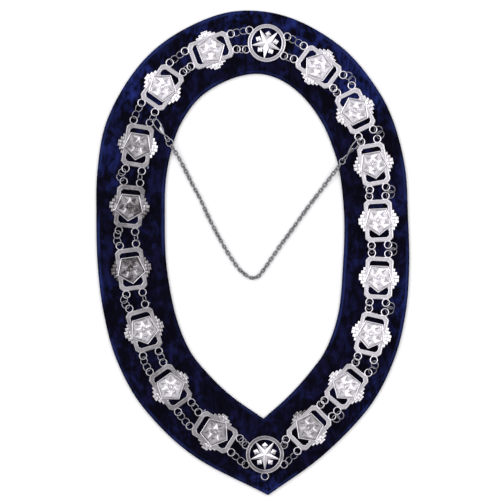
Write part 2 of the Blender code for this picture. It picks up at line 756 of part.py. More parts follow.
def ring_start(one, two, side, bulge_away):
    """First guess for the rings between two loops: on the line, or bowing away if slack."""
    a, b = one["centre"], two["centre"]
    line = b - a
    distance = float(np.linalg.norm(line[:2]))
    bearing = math.atan2(line[1], line[0])
    tilt = math.radians(RING_TILT)
    middle = (a + b) / 2.0
    steeper = math.radians(RING_TILT + RING_STEEPER)
    raised = middle + np.array([0.0, 0.0, RING_RADIUS * 0.3])
    if side == "inner":
        return [[*spot, bearing, lean, 0.0] for spot, lean in (
            (middle, tilt), (middle, -tilt), (raised, steeper), (raised, -steeper))]
    unit = line / np.linalg.norm(line)
    normal = np.array([-unit[1], unit[0], 0.0])
    if normal @ bulge_away < 0:
        normal = -normal
    most = RING_RADIUS + LOOP_RADIUS - (RING_WIRE + LOOP_WALL) / 2.0 - 1.5 * RING_PLAY
    between = min(max(distance * 0.36, 5.8), 2.0 * RING_RADIUS - RING_WIRE - 1.5 * RING_PLAY)
    leg = min(max(5.7, math.hypot((distance - between) / 2.0, 0.0) + 0.01), most)
    shift = (distance - between) / 2.0
    rise = math.sqrt(max(0.0, leg ** 2 - shift ** 2))
    first = a + unit * shift + normal * rise
    second = b - unit * shift + normal * rise
    swing = math.atan2(rise, shift)
    if np.cross(unit, normal)[2] < 0:
        swing = -swing
    starts = []
    for lean, lift in ((tilt, 0.0), (steeper, RING_RADIUS * 0.3), (steeper, RING_RADIUS * 0.7)):
        for part in (0.7, 0.5, 0.9):
            for sign in (1.0, -1.0):
                starts.append([*first[:2], first[2] + lift, bearing + swing * part, sign * lean, 0.0,
                               *second[:2], second[2] + lift, bearing - swing * part, -sign * lean,
                               0.0])
    return starts


def build():
    for old in list(bpy.data.objects):
        bpy.data.objects.remove(old)
    velvet_look = material("navy_velvet", (0.012, 0.014, 0.060), 0.0, 0.85)
    plate_look = material("plated_metal", (0.78, 0.77, 0.80), 1.0, 0.22)
    ring_look = material("ring_metal", (0.55, 0.55, 0.60), 1.0, 0.28)
    clip_look = material("clip_metal", (0.66, 0.66, 0.70), 1.0, 0.25)
    chain_look = material("chain_metal", (0.50, 0.50, 0.53), 1.0, 0.30)

    finish(velvet_mesh(), "velvet_backing", velvet_look, smooth=True)
    links = settle(first_links())
    plaque = plaque_mesh()
    roundels = {"roundel_top": roundel_mesh(False), "roundel_bottom": roundel_mesh(True)}
    for link in links:
        link["matrix"] = link_matrix(link["kind"], link["spot"], link["turn"], link["lifted"])
        source = plaque if link["kind"] == "plaque" else roundels[link["name"]]
        finish(copy_of(source), link["name"], plate_look, link["matrix"])
    for source in [plaque, *roundels.values()]:
        bpy.data.objects.remove(source)

    clip_source, clip_eye = clip_mesh()
    hooks = {row[1]: row for row in CLIPS}
    clips = {}
    for i, one in enumerate(links):
        two = links[(i + 1) % len(links)]
        number = "%02d" % (i + 1)
        middle = (one["spot"] + two["spot"]) / 2.0
        outward = np.array([middle[0], middle[1], 0.0])
        for side in ("inner", "outer"):
            loop_one = link_loop(one, one["after"][side])
            loop_two = link_loop(two, two["before"][side])
            bars = end_bars(one, one["after"][side]) + end_bars(two, two["before"][side])
            hooked = []
            if side == "inner" and one["name"] in hooks:
                row = hooks[one["name"]]
                ring_middle = (loop_one["centre"] + loop_two["centre"]) / 2.0
                matrix = clip_matrix(ring_middle, *row[2:])
                half = (CLIP_WIDTH - CLIP_WIRE) / 2.0
                hooked = [circle_track(matrix.translation, matrix.to_3x3(), half, CLIP_WIRE)]
                clips[row[0]] = matrix
            found = []
            for start in ring_start(loop_one, loop_two, side, outward):
                chain = (loop_one, loop_two, hooked)
                found.append(place_rings(start, RING_RADIUS, RING_WIRE, chain, bars))
                if found[-1][1] < GOOD_STRAIN:
                    break
            rings = min(found, key=lambda entry: entry[1])[0]
            made = None
            for ring in rings:
                solid = add_mesh("ring", *torus(ring))
                made = solid if made is None else combine(made, [solid], "UNION")
            finish(made, "ring_%s_%s" % (side, number), ring_look, smooth=True)

    route = [(x * COLLAR_WIDTH, y * COLLAR_LENGTH, z * CHAIN_DIAMETER) for x, y, z in CHAIN_ROUTE]
    sizes = {"left": END_RING_LEFT_DIAMETER, "right": END_RING_RIGHT_DIAMETER}
    for side, matrix in clips.items():
        finish(copy_of(clip_source), "clip_" + side, clip_look, matrix, smooth=True)
        eye = matrix @ Vector((clip_eye, 0.0, 0.0))
        eye_loop = circle_track(eye, matrix.to_3x3(), (CLIP_EYE_DIAMETER - CLIP_WIRE) / 2.0, CLIP_WIRE)
        radius = (sizes[side] - END_RING_WIRE) / 2.0
        nearest = route[0] if side == "left" else route[-1]
        away = Vector((nearest[0] - eye[0], nearest[1] - eye[1], 0.0)).normalized()
        centre = Vector(eye) + away * (radius * 0.96)
        lowest = VELVET_THICKNESS + CLEARANCE + END_RING_WIRE / 2.0 + radius * 0.30
        centre.z = max(lowest, eye.z - CLIP_WIRE / 2.0)
        bearing = math.atan2(away.y, away.x)
        found = []
        for tilt in (24.0, -24.0, 6.0, -6.0):
            start = [*centre, bearing, math.radians(tilt), 0.0]
            found.append(place_rings(start, radius, END_RING_WIRE, (eye_loop, None, []), []))
        rings = min(found, key=lambda entry: entry[1])[0]
        finish(add_mesh("ring", *torus(rings[0])), "end_ring_" + side, clip_look, smooth=True)
        middle = Vector(rings[0]["centre"])
        away = Vector((nearest[0] - middle[0], nearest[1] - middle[1], 0.0)).normalized()
        start = middle + away * (radius + END_RING_WIRE / 2.0 + CLEARANCE)
        start.z = max(middle.z, CHAIN_DIAMETER / 2.0 + 0.05)
        if side == "left":
            route.insert(0, tuple(start))
        else:
            start.z = VELVET_THICKNESS + CLEARANCE + CHAIN_DIAMETER / 2.0
            route.append(tuple(start))
    bpy.data.objects.remove(clip_source)

    line = smooth_path(route, CHAIN_POINTS)
    curve = bpy.data.curves.new("safety_chain", "CURVE")
    curve.dimensions = "3D"
    curve.bevel_depth = CHAIN_DIAMETER / 2.0 * MM
    curve.bevel_resolution = 2
    curve.use_fill_caps = True
    spline = curve.splines.new("POLY")
    spline.points.add(len(line) - 1)
    for point, spot in zip(spline.points, line):
        point.co = (*(spot * MM), 1.0)
    curve.materials.append(chain_look)
    tube = bpy.data.objects.new("safety_chain", curve)
    bpy.context.scene.collection.objects.link(tube)


build()
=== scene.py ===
"""Dressed chain collar: velvet band, pierced plaques, roundels, rings, clips and chain."""
from math import acos, copysign, cos, hypot, pi, radians, sin, tan

import bmesh
import bpy
import numpy as np
from mathutils import Matrix, Vector


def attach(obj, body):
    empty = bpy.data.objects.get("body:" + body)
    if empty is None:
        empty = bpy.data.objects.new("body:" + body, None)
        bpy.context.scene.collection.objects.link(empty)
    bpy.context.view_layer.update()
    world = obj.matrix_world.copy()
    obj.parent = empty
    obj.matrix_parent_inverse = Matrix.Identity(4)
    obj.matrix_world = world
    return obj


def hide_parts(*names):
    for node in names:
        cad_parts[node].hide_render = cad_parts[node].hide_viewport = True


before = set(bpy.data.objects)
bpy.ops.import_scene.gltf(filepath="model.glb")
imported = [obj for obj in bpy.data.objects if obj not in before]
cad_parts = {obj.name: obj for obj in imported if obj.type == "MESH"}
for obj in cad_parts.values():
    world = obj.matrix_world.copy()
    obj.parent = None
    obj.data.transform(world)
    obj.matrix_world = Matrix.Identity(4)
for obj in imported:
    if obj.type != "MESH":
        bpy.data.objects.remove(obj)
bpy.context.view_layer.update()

MM = 0.001
TAU = 2.0 * pi

# Places of the links in millimetres and degrees, as they lie on the velvet.
# columns: node, across, up, height, turn, pitch, painted dark reflection on the middle, bars, left and
# right rays
LINKS = (
    ("roundel_top", 13.89, 209.66, 3.3, -9.59, 0.0, 0.15, 0.2, 0.0, 0.0),
    ("plaque_left_1", -42.03, 202.47, 3.3, 110.71, 0.0, 0.0, 0.1, 0.0, 0.0),
    ("plaque_left_2", -90.37, 165.23, 3.3, 144.83, 0.0, 0.0, 0.15, 0.0, 0.1),
    ("plaque_left_3", -114.98, 107.13, 3.3, -9.43, 0.0, 0.65, 0.5, 1.15, 0.05),
    ("plaque_left_4", -123.28, 46.17, 3.3, -5.68, 0.0, 0.9, 0.7, 1.15, 1.05),
    ("plaque_left_5", -121.52, -16.38, 3.3, 7.74, 0.0, 0.95, 0.5, 1.05, 0.85),
    ("plaque_left_6", -108.68, -77.13, 3.3, 16.22, 0.0, 0.3, 0.5, 0.7, 0.7),
    ("plaque_left_7", -82.13, -134.29, 3.3, 35.21, 0.0, 0.15, 0.6, 0.5, 0.8),
    ("plaque_left_8", -37.93, -179.32, 3.3, 57.61, 0.0, 0.6, 0.5, 0.65, 0.75),
    ("roundel_bottom", 12.09, -201.78, 3.3, 0.04, 0.0, 0.27, 0.6, 0.0, 0.0),
    ("plaque_right_8", 56.15, -174.88, 4.18, -45.06, -2.38, 0.48, 0.22, 1.0, 0.15),
    ("plaque_right_7", 93.49, -133.75, 4.18, -39.34, -2.38, 0.05, 0.2, 0.25, 0.25),
    ("plaque_right_6", 118.47, -81.46, 4.18, -13.20, -2.38, 0.0, 0.0, 0.15, 0.1),
    ("plaque_right_5", 125.99, -25.20, 4.18, -2.90, -2.38, 0.0, 0.0, 0.15, 0.15),
    ("plaque_right_4", 125.67, 32.03, 4.18, 2.80, -2.38, 0.0, 0.0, 0.15, 0.15),
    ("plaque_right_3", 120.66, 88.29, 4.18, 10.20, -2.38, 0.15, 0.0, 0.5, 0.45),
    ("plaque_right_2", 102.25, 141.52, 4.18, -153.98, 2.38, 0.12, 0.0, 0.35, 0.35),
    ("plaque_right_1", 65.71, 185.57, 4.18, -126.61, 2.38, 0.0, 0.0, 0.2, 0.1),
)
# columns: node, across, up, height, turn, pitch, roll
CLIPS = (
    ("clip_left", -97.12, 130.63, 7.55, -55.0, 6.5, -24.0),
    ("clip_right", 104.07, 109.90, 9.73, -128.0, 11.0, -45.0),
)

# Places of the jump rings, a row for each joint of two links: the inner ring and the two
# outer ones. A ring's axis leans from upright towards a bearing.
# each ring: across, up, height, bearing of the lean, lean
RINGS = (
    ((-11.42, 203.34, 5.85, 89, 28),
     (-9.09, 221.55, 5.85, 99, 35), (-16.36, 220.01, 5.88, -77, 35)),
    ((-65.80, 183.34, 5.85, 127, 28),
     (-72.55, 198.05, 5.88, 125, 35), (-78.27, 193.50, 5.91, -54, 36)),
    ((-99.76, 134.87, 6.10, 154, 36),
     (-113.77, 144.79, 5.85, 151, 35), (-116.91, 138.07, 5.97, -23, 37)),
    ((-112.67, 75.83, 7.09, -9, 63),
     (-130.70, 80.41, 5.85, 137, 32), (-132.19, 75.61, 5.85, 36, 29)),
    ((-116.62, 15.05, 7.06, -174, 63),
     (-135.39, 18.18, 5.85, 160, 29), (-135.43, 11.64, 5.91, 24, 33)),
    ((-108.37, -45.34, 7.15, -168, 67),
     (-128.61, -46.63, 5.85, 156, 31), (-126.92, -51.93, 5.85, 43, 32)),
    ((-91.76, -103.95, 5.85, -158, 36),
     (-108.66, -108.05, 5.85, -173, 32), (-105.72, -114.33, 5.85, 31, 30)),
    ((-57.82, -154.27, 5.85, -144, 35),
     (-71.79, -163.26, 5.79, -144, 30), (-66.95, -168.83, 5.85, 44, 35)),
    ((-9.96, -188.78, 5.85, -138, 28),
     (-17.35, -203.35, 5.91, -133, 36), (-11.70, -208.14, 5.94, 50, 36)),
    ((32.17, -189.15, 6.80, -18, 41),
     (35.78, -207.53, 6.45, 144, 46), (41.25, -202.67, 7.17, -54, 42)),
    ((69.73, -149.55, 6.73, -44, 41),
     (83.22, -165.83, 5.43, -108, 26), (87.35, -162.06, 8.03, -158, 35)),
    ((103.83, -106.43, 6.73, -19, 42),
     (119.62, -117.74, 5.80, -67, 28), (121.79, -111.83, 7.66, -160, 35)),
    ((116.33, -52.39, 6.73, -4, 41),
     (136.95, -57.60, 5.66, -68, 30), (137.62, -52.74, 7.86, -120, 40)),
    ((118.92, 3.53, 6.73, 0, 42),
     (140.11, 1.10, 5.58, -62, 29), (139.93, 6.60, 7.88, -112, 28)),
    ((116.59, 59.52, 6.73, -5, 42),
     (137.52, 58.20, 5.55, -70, 27), (138.02, 63.57, 7.91, -122, 35)),
    ((106.93, 112.53, 6.86, 31, 47),
     (127.54, 117.89, 5.64, -44, 29), (125.40, 122.84, 7.82, -102, 34)),
    ((82.24, 162.24, 6.73, 40, 41),
     (99.31, 172.30, 5.85, -6, 32), (95.29, 176.82, 7.55, -91, 31)),
    ((36.12, 195.25, 5.78, 68, 31),
     (46.08, 209.71, 5.73, 53, 31), (39.65, 213.24, 5.87, -118, 36)),
)
# columns: node, radius, across, up, height, bearing of the lean, lean
END_RINGS = (
    ("end_ring_left", 3.8, -83.11, 110.16, 5.19, -149, 24),
    ("end_ring_right", 3.0, 89.45, 91.45, 5.07, 143, 24),
)

# Points that the thin chain passes, in millimetres.
CHAIN_ROUTE = (
    (-80.6, 105.9, 5.1), (-78.0, 101.6, 4.1), (-74.0, 95.0, 2.85), (-67.0, 81.6, 1.95),
    (-60.1, 67.8, 1.8), (-52.6, 53.8, 1.8), (-46.0, 39.4, 1.8), (-39.0, 25.2, 1.8),
    (-31.5, 11.2, 1.8), (-23.5, -2.4, 1.8), (-14.4, -15.4, 1.8), (-8.6, -20.8, 1.8),
    (-2.2, -25.0, 1.8), (4.8, -23.9, 1.8), (10.1, -18.0, 1.8), (19.1, -5.0, 1.8),
    (28.1, 8.0, 1.8), (37.5, 20.8, 1.8), (46.7, 33.7, 1.8), (55.9, 46.6, 1.8), (65.5, 59.2, 1.9),
    (70.3, 65.5, 2.0), (74.9, 71.9, 2.7), (79.6, 78.2, 3.9), (83.8, 83.6, 4.5), (86.9, 87.7, 5.0),
)

# Velvet outline in shares of the width and length from the middle, from the bottom point
# round by the left. Each row: outer across, outer up, inner across, inner up.
BAND_WIDTH = 313.4
BAND_LENGTH = 485.0
OUTLINE = (
    (0.049, -0.5, 0.034, -0.342), (-0.189, -0.419, -0.069, -0.295),
    (-0.349, -0.32, -0.148, -0.246), (-0.435, -0.221, -0.206, -0.196),
    (-0.477, -0.122, -0.249, -0.122), (-0.496, -0.023, -0.276, -0.023),
    (-0.5, 0.076, -0.281, 0.076), (-0.496, 0.175, -0.277, 0.154), (-0.466, 0.274, -0.255, 0.224),
    (-0.381, 0.373, -0.224, 0.274), (-0.271, 0.442, -0.166, 0.323),
    (-0.117, 0.491, -0.079, 0.357), (0.017, 0.5, 0.01, 0.37), (0.151, 0.478, 0.087, 0.358),
    (0.29, 0.422, 0.16, 0.323), (0.388, 0.348, 0.217, 0.274), (0.448, 0.274, 0.252, 0.224),
    (0.487, 0.175, 0.278, 0.165), (0.496, 0.076, 0.292, 0.072), (0.5, -0.023, 0.288, -0.025),
    (0.489, -0.122, 0.274, -0.122), (0.451, -0.221, 0.236, -0.196), (0.37, -0.32, 0.183, -0.246),
    (0.222, -0.419, 0.115, -0.295),
)

# Plaque, roundel and wire sizes in millimetres, the same as in the solids.
HALF_WIDTH, HALF_HEIGHT, THICKNESS, CORNER = 14.0, 21.3, 3.1, 3.6
SIDE_BAR, END_BAR = 4.2, 4.6
PENTAGON = 15.1
ROUNDEL, ROUNDEL_INSIDE, ROUNDEL_LOOPS, RIBS = 19.0, 15.0, 21.5, 96
LOOP_MIDDLE = 2.55
LOOP_RADIUS, LOOP_WIRE = 3.6, 1.2
RING_RADIUS, RING_WIRE, END_RING_WIRE = 4.02, 0.95, 1.0


class Value:
    """Number on a node's output, with the sums that the materials use."""

    def __init__(self, paint, socket):
        self.paint = paint
        self.socket = socket

    def __add__(self, other):
        return self.paint.sum("ADD", self, other)

    def __sub__(self, other):
        return self.paint.sum("SUBTRACT", self, other)

    def __rsub__(self, other):
        return self.paint.sum("SUBTRACT", other, self)

    def __mul__(self, other):
        return self.paint.sum("MULTIPLY", self, other)

    __radd__ = __add__
    __rmul__ = __mul__


class Paint:
    """One material with its nodes."""

    def __init__(self, name, **constants):
        self.material = bpy.data.materials.new(name)
        self.material.use_nodes = True
        self.tree = self.material.node_tree
        self.shader = self.tree.nodes["Principled BSDF"]
        for socket, value in constants.items():
            self.shader.inputs[socket.replace("_", " ")].default_value = value

    def node(self, kind, settings=None, links=None, out=0):
        """Value of a new node, whose inputs take values or constants."""
        made = self.tree.nodes.new("ShaderNode" + kind)
        for name, value in (settings or {}).items():
            if name == "stops":
                ramp = made.color_ramp
                while len(ramp.elements) < len(value):
                    ramp.elements.new(0.5)
                for element, (place, color) in zip(ramp.elements, value):
                    element.position = place
                    element.color = (*color, 1.0)
            else:
                setattr(made, name, value)
        for socket, value in (links or {}).items():
            if isinstance(value, Value):
                self.tree.links.new(value.socket, made.inputs[socket])
            else:
                made.inputs[socket].default_value = value
        return Value(self, made.outputs[out])

    def sum(self, operation, one, two):
        return self.node("Math", {"operation": operation}, {0: one, 1: two})

    def place(self):
        return self.node("TexCoord", out="Object")

    def noise(self, scale, detail=3.0, roughness=0.5, place=None, distortion=0.0):
        links = {"Vector": place or self.place(), "Scale": scale, "Detail": detail,
                 "Roughness": roughness, "Distortion": distortion}
        return self.node("TexNoise", None, links)

    def attribute(self, name):
        return self.node("Attribute", {"attribute_name": name}, out="Fac")

    def ramp(self, value, *stops):
        stops = [(place, color if isinstance(color, tuple) else (color,) * 3)
                 for place, color in stops]
        return self.node("ValToRGB", {"stops": stops}, {"Fac": value})

    def clamp(self, value, low, high):
        """Zero below low, one above high, smooth between."""
        return self.node("MapRange", {"interpolation_type": "SMOOTHSTEP"},
                         {"Value": value, "From Min": low, "From Max": high})

    def mix(self, share, one, two):
        ends = {"Factor": share, 6: one, 7: two}
        for key in (6, 7):
            if isinstance(ends[key], tuple):
                ends[key] = (*ends[key], 1.0)
        return self.node("Mix", {"data_type": "RGBA"}, ends, out=2)

    def bump(self, height, strength, distance):
        links = {"Height": height, "Strength": strength, "Distance": distance}
        return self.node("Bump", None, links)

    def set(self, **sockets):
        for socket, value in sockets.items():
            self.tree.links.new(value.socket, self.shader.inputs[socket.replace("_", " ")])
        return self.material


def velvet_material():
    """Navy velvet: dark pile with brushed, lighter nap towards the outer edge, and a painted highlight
    line along its turned edges.
    """
    paint = Paint("navy_velvet_pile", Sheen_Weight=0.19, Sheen_Roughness=0.30, IOR=1.3,
                  Sheen_Tint=(0.10, 0.16, 0.75, 1.0), Specular_IOR_Level=0.12)
    pile = paint.noise(1900.0, 2.0, 0.6)
    streak = paint.node("Mapping", None, {"Vector": paint.place(), "Rotation": (0, 0, 0.5),
                                          "Scale": (130.0, 52.0, 60.0)})
    swirl = paint.noise(1.0, 5.0, 0.62, streak, 1.1)
    mottle = paint.noise(62.0, 4.0, 0.62, None, 0.9)
    cloud = paint.noise(17.0, 4.0, 0.6, None, 0.6)
    brushed = paint.attribute("brushed")
    # edge holds the painted highlight line along the turned edges of the band
    edge = paint.attribute("edge")
    nap = paint.clamp(cloud * 0.15 + mottle * 0.45 + swirl * 0.40 + brushed * 0.07, 0.49, 0.70)
    dark = paint.mix(paint.clamp(swirl * 0.5 + mottle * 0.5, 0.42, 0.66), (0.0010, 0.0008, 0.0040),
                     (0.0050, 0.0046, 0.0250))
    color = paint.mix(nap * brushed, dark, (0.016, 0.028, 0.180))
    # painted highlight: a lighter blue line along the turned edges, standing in for the pile's sheen
    # catching the light
    color = paint.mix(edge * paint.clamp(cloud, 0.40, 0.66), color, (0.016, 0.026, 0.120))
    height = pile * 0.35 + swirl * 0.65
    rough = 0.78 + 0.2 * pile
    return paint.set(Base_Color=color, Roughness=rough,
                     Normal=paint.bump(height, 0.55, 0.0006))


def plated_material(name, color, low, high, dull):
    """Plated metal: bright on its edges, duller in its hollows, with fine scratches.

    Low and high are its roughness when bright and when dull.
    """
    paint = Paint(name, Metallic=1.0)
    wear = paint.attribute("wear")
    # painted dark reflection of the surroundings, stored for each point
    toning = paint.attribute("toning")
    cloud = paint.noise(420.0, 4.0, 0.6)
    fine = paint.noise(5200.0, 2.0, 0.5)
    scratch_place = paint.node("Mapping", None, {"Vector": paint.place(),
                                                 "Rotation": (0.0, 0.0, 0.9),
                                                 "Scale": (900.0, 90.0, 300.0)})
    scratch = paint.clamp(paint.noise(1.0, 3.0, 0.7, scratch_place), 0.60, 0.72)
    grime = paint.clamp((1.0 - wear) * 1.1 + cloud * 0.35 - 0.25, 0.15, 0.95)
    base = paint.mix(grime, color, dull)
    # painted dark reflection of the surroundings hides the plating most in patches, and a little less on
    # worn edges
    patch = paint.noise(95.0, 3.0, 0.6)
    dark_reflection_colour = paint.mix(paint.clamp(cloud * 0.6 + patch * 0.4 + 0.12 * wear, 0.45, 0.75),
                     (0.030, 0.027, 0.029), (0.125, 0.112, 0.116))
    dark_reflection_cover = 0.74 + 0.42 * paint.clamp(patch, 0.40, 0.60) - 0.10 * wear
    base = paint.mix(toning * dark_reflection_cover, base, dark_reflection_colour)
    rough = low + grime * (high - low) + scratch * 0.06 + cloud * 0.05
    height = fine * 0.25 + cloud * 0.5 - scratch * 0.3
    return paint.set(Base_Color=base, Roughness=rough,
                     Normal=paint.bump(height, 0.22, 0.00012))


def keep(mesh, name, values):
    """Write a number for each point of a mesh as its attribute of that name."""
    layer = mesh.attributes.get(name) or mesh.attributes.new(name, "FLOAT", "POINT")
    layer.data.foreach_set("value", values)


def skin(rows, count):
    """Faces between rows of points, each row with as many."""
    pairs = [(i, (i + 1) % count) for i in range(count)]
    return [(a + i, a + j, a + count + j, a + count + i)
            for a in range(0, (rows - 1) * count, count) for i, j in pairs]


class Shell:
    """Points in millimetres, faces, and how worn each point is."""

    def __init__(self):
        self.points = []
        self.faces = []
        self.wear = []
        self.smooth = []

    def add(self, points, faces, wear, smooth=False):
        start = len(self.points)
        self.points += [tuple(float(v) for v in point) for point in points]
        self.wear += list(wear) if hasattr(wear, "__len__") else [wear] * len(points)
        self.faces += [tuple(start + i for i in face) for face in faces]
        self.smooth += [smooth] * len(faces)

    def rings(self, rings, wear, smooth=False, cap_first=True, cap_last=True):
        """Skin over rows of points that all have as many corners."""
        count = len(rings[0])
        points = [point for ring in rings for point in ring]
        worn = [w for w, ring in zip(wear, rings) for _ in ring]
        faces = skin(len(rings), count)
        if cap_first:
            faces.append(tuple(reversed(range(count))))
        if cap_last:
            last = (len(rings) - 1) * count
            faces.append(tuple(range(last, last + count)))
        self.add(points, faces, worn, smooth)

    def loop(self, profile, row):
        """Closed bar or rim. Its section is rows of place, height and wear."""
        self.rings([row(place, z) for place, z, _ in profile], [worn for _, _, worn in profile],
                   cap_first=False, cap_last=False)

    def torus(self, centre, radius, wire, around=28, section=8, wear=0.85):
        """Ring of round wire that lies flat. Radius is that of the wire's middle."""
        points, faces = [], []
        for i in range(around):
            a = TAU * i / around
            for k in range(section):
                b = TAU * k / section
                out = radius + wire / 2.0 * cos(b)
                points.append((centre[0] + out * cos(a), centre[1] + out * sin(a),
                               centre[2] + wire / 2.0 * sin(b)))
                m, j = (k + 1) % section, (i + 1) % around
                faces.append((i * section + k, j * section + k, j * section + m,
                              i * section + m))
        self.add(points, faces, wear, True)

    def mesh(self, name, material):
        mesh = bpy.data.meshes.new(name)
        mesh.from_pydata(self.points, [], self.faces)
        mesh.polygons.foreach_set("use_smooth", self.smooth)
        keep(mesh, "wear", self.wear)
        mesh.materials.append(material)
        mesh.update()
        return mesh


def outward(mesh):
    """Merge a mesh's doubles and turn its faces outwards."""
    shape = bmesh.new()
    shape.from_mesh(mesh)
    bmesh.ops.remove_doubles(shape, verts=shape.verts, dist=1e-5)
    bmesh.ops.recalc_face_normals(shape, faces=shape.faces)
    shape.to_mesh(mesh)
    shape.free()
    return mesh


def added(name, data):
    made = bpy.data.objects.new(name, data)
    bpy.context.scene.collection.objects.link(made)
    return made


def bevelled(mesh, width):
    """Soften the sharp edges of a mesh."""
    holder = added("holder", mesh)
    step = holder.modifiers.new("soft", "BEVEL")
    step.width = width
    step.segments = 2
    step.limit_method = "ANGLE"
    step.angle_limit = radians(28.0)
    graph = bpy.context.evaluated_depsgraph_get()
    made = bpy.data.meshes.new_from_object(holder.evaluated_get(graph))
    bpy.data.objects.remove(holder)
    return made


def piece(name, mesh, nodes=()):
    """Finished piece at the origin that rides on the collar."""
    mesh.name = name
    made = added(name, mesh)
    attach(made, "root")
    if nodes:
        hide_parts(*nodes)
    return made


def placed(mesh, spot, *turns):
    """Turn a mesh about its own axes and put it in its place, in metres."""
    place = Matrix.Scale(MM, 4) @ Matrix.Translation(spot)
    for degrees, axis in turns:
        place = place @ Matrix.Rotation(radians(degrees), 4, axis)
    mesh.transform(place)
    return mesh


def circle(radius, count, phase=0.0, z=0.0):
    return [(radius * cos(phase + TAU * i / count), radius * sin(phase + TAU * i / count), z)
            for i in range(count)]


def rounded(corners, radius, segments=4):
    """Outline with each corner turned into a short arc, as many points at each corner."""
    count = len(corners)
    made = []
    for i in range(count):
        here = np.array(corners[i], float)
        before = np.array(corners[i - 1], float) - here
        after = np.array(corners[(i + 1) % count], float) - here
        before /= np.linalg.norm(before)
        after /= np.linalg.norm(after)
        half = acos(max(-1.0, min(1.0, float(before @ after)))) / 2.0
        cut = radius / tan(half)
        one, two = here + before * cut, here + after * cut
        for k in range(segments):
            t = k / (segments - 1)
            near = one * (1 - t) ** 2 + here * 2 * t * (1 - t) + two * t ** 2
            made.append((near[0], near[1]))
    return made


def cut_corner(w, h, c):
    """Oblong of half width w and half height h, with c cut off its corners."""
    return [(w - c, -h), (w, -h + c), (w, h - c), (w - c, h),
            (-w + c, h), (-w, h - c), (-w, -h + c), (-w + c, -h)]


def smooth_path(points, count):
    """Points at even steps along a smooth curve through the given ones."""
    pts = [np.array(point, float) for point in points]
    pts = [2 * pts[0] - pts[1]] + pts + [2 * pts[-1] - pts[-2]]
    dense = []
    for i in range(1, len(pts) - 2):
        a, b, c, d = pts[i - 1:i + 3]
        for t in np.linspace(0.0, 1.0, 12, endpoint=False):
            near = b + 0.5 * t * (c - a)
            bend = 0.5 * t * t * (2 * a - 5 * b + 4 * c - d)
            dense.append(near + bend + 0.5 * t ** 3 * (3 * b - a - 3 * c + d))
    dense.append(pts[-2])
    dense = np.array(dense)
    steps = np.linalg.norm(np.diff(dense[:, :min(3, dense.shape[1])], axis=0), axis=1)
    along = np.concatenate([[0.0], np.cumsum(steps)])
    wanted = np.linspace(0.0, along[-1], count)
    return np.stack([np.interp(wanted, along, dense[:, k]) for k in range(dense.shape[1])], axis=1)


def frame_shell(shell):
    """Pierced frame: a bar with two raised lips round a shallow channel."""
    outer = rounded(cut_corner(HALF_WIDTH, HALF_HEIGHT, CORNER), 1.5)
    inner = rounded(cut_corner(HALF_WIDTH - SIDE_BAR, HALF_HEIGHT - END_BAR, CORNER * 0.62), 0.9)
    # columns: share of the way in, height, wear
    profile = ((0.0, 0.0, 0.5), (0.0, 2.45, 0.8), (0.10, 2.85, 1.0), (0.14, 3.06, 1.0),
               (0.25, THICKNESS, 0.9), (0.31, 2.80, 0.35), (0.67, 2.74, 0.45), (0.73, THICKNESS, 0.9),
               (0.89, 3.08, 1.0), (0.95, 2.95, 1.0), (1.0, 2.55, 0.8), (1.0, 0.0, 0.5),
               (0.0, 0.0, 0.5))
    shell.loop(profile, lambda share, z: [(a + (c - a) * share, b + (d - b) * share, z)
                                          for (a, b), (c, d) in zip(outer, inner)])


def pentagon_row(radius, z):
    """Ten points: the corners and the middles of the sides of a pentagon."""
    row = []
    for i in range(10):
        angle = radians(54.0 + 36.0 * i)
        reach = radius if i % 2 == 0 else radius * cos(TAU / 10.0)
        row.append((reach * cos(angle), reach * sin(angle), z))
    return row


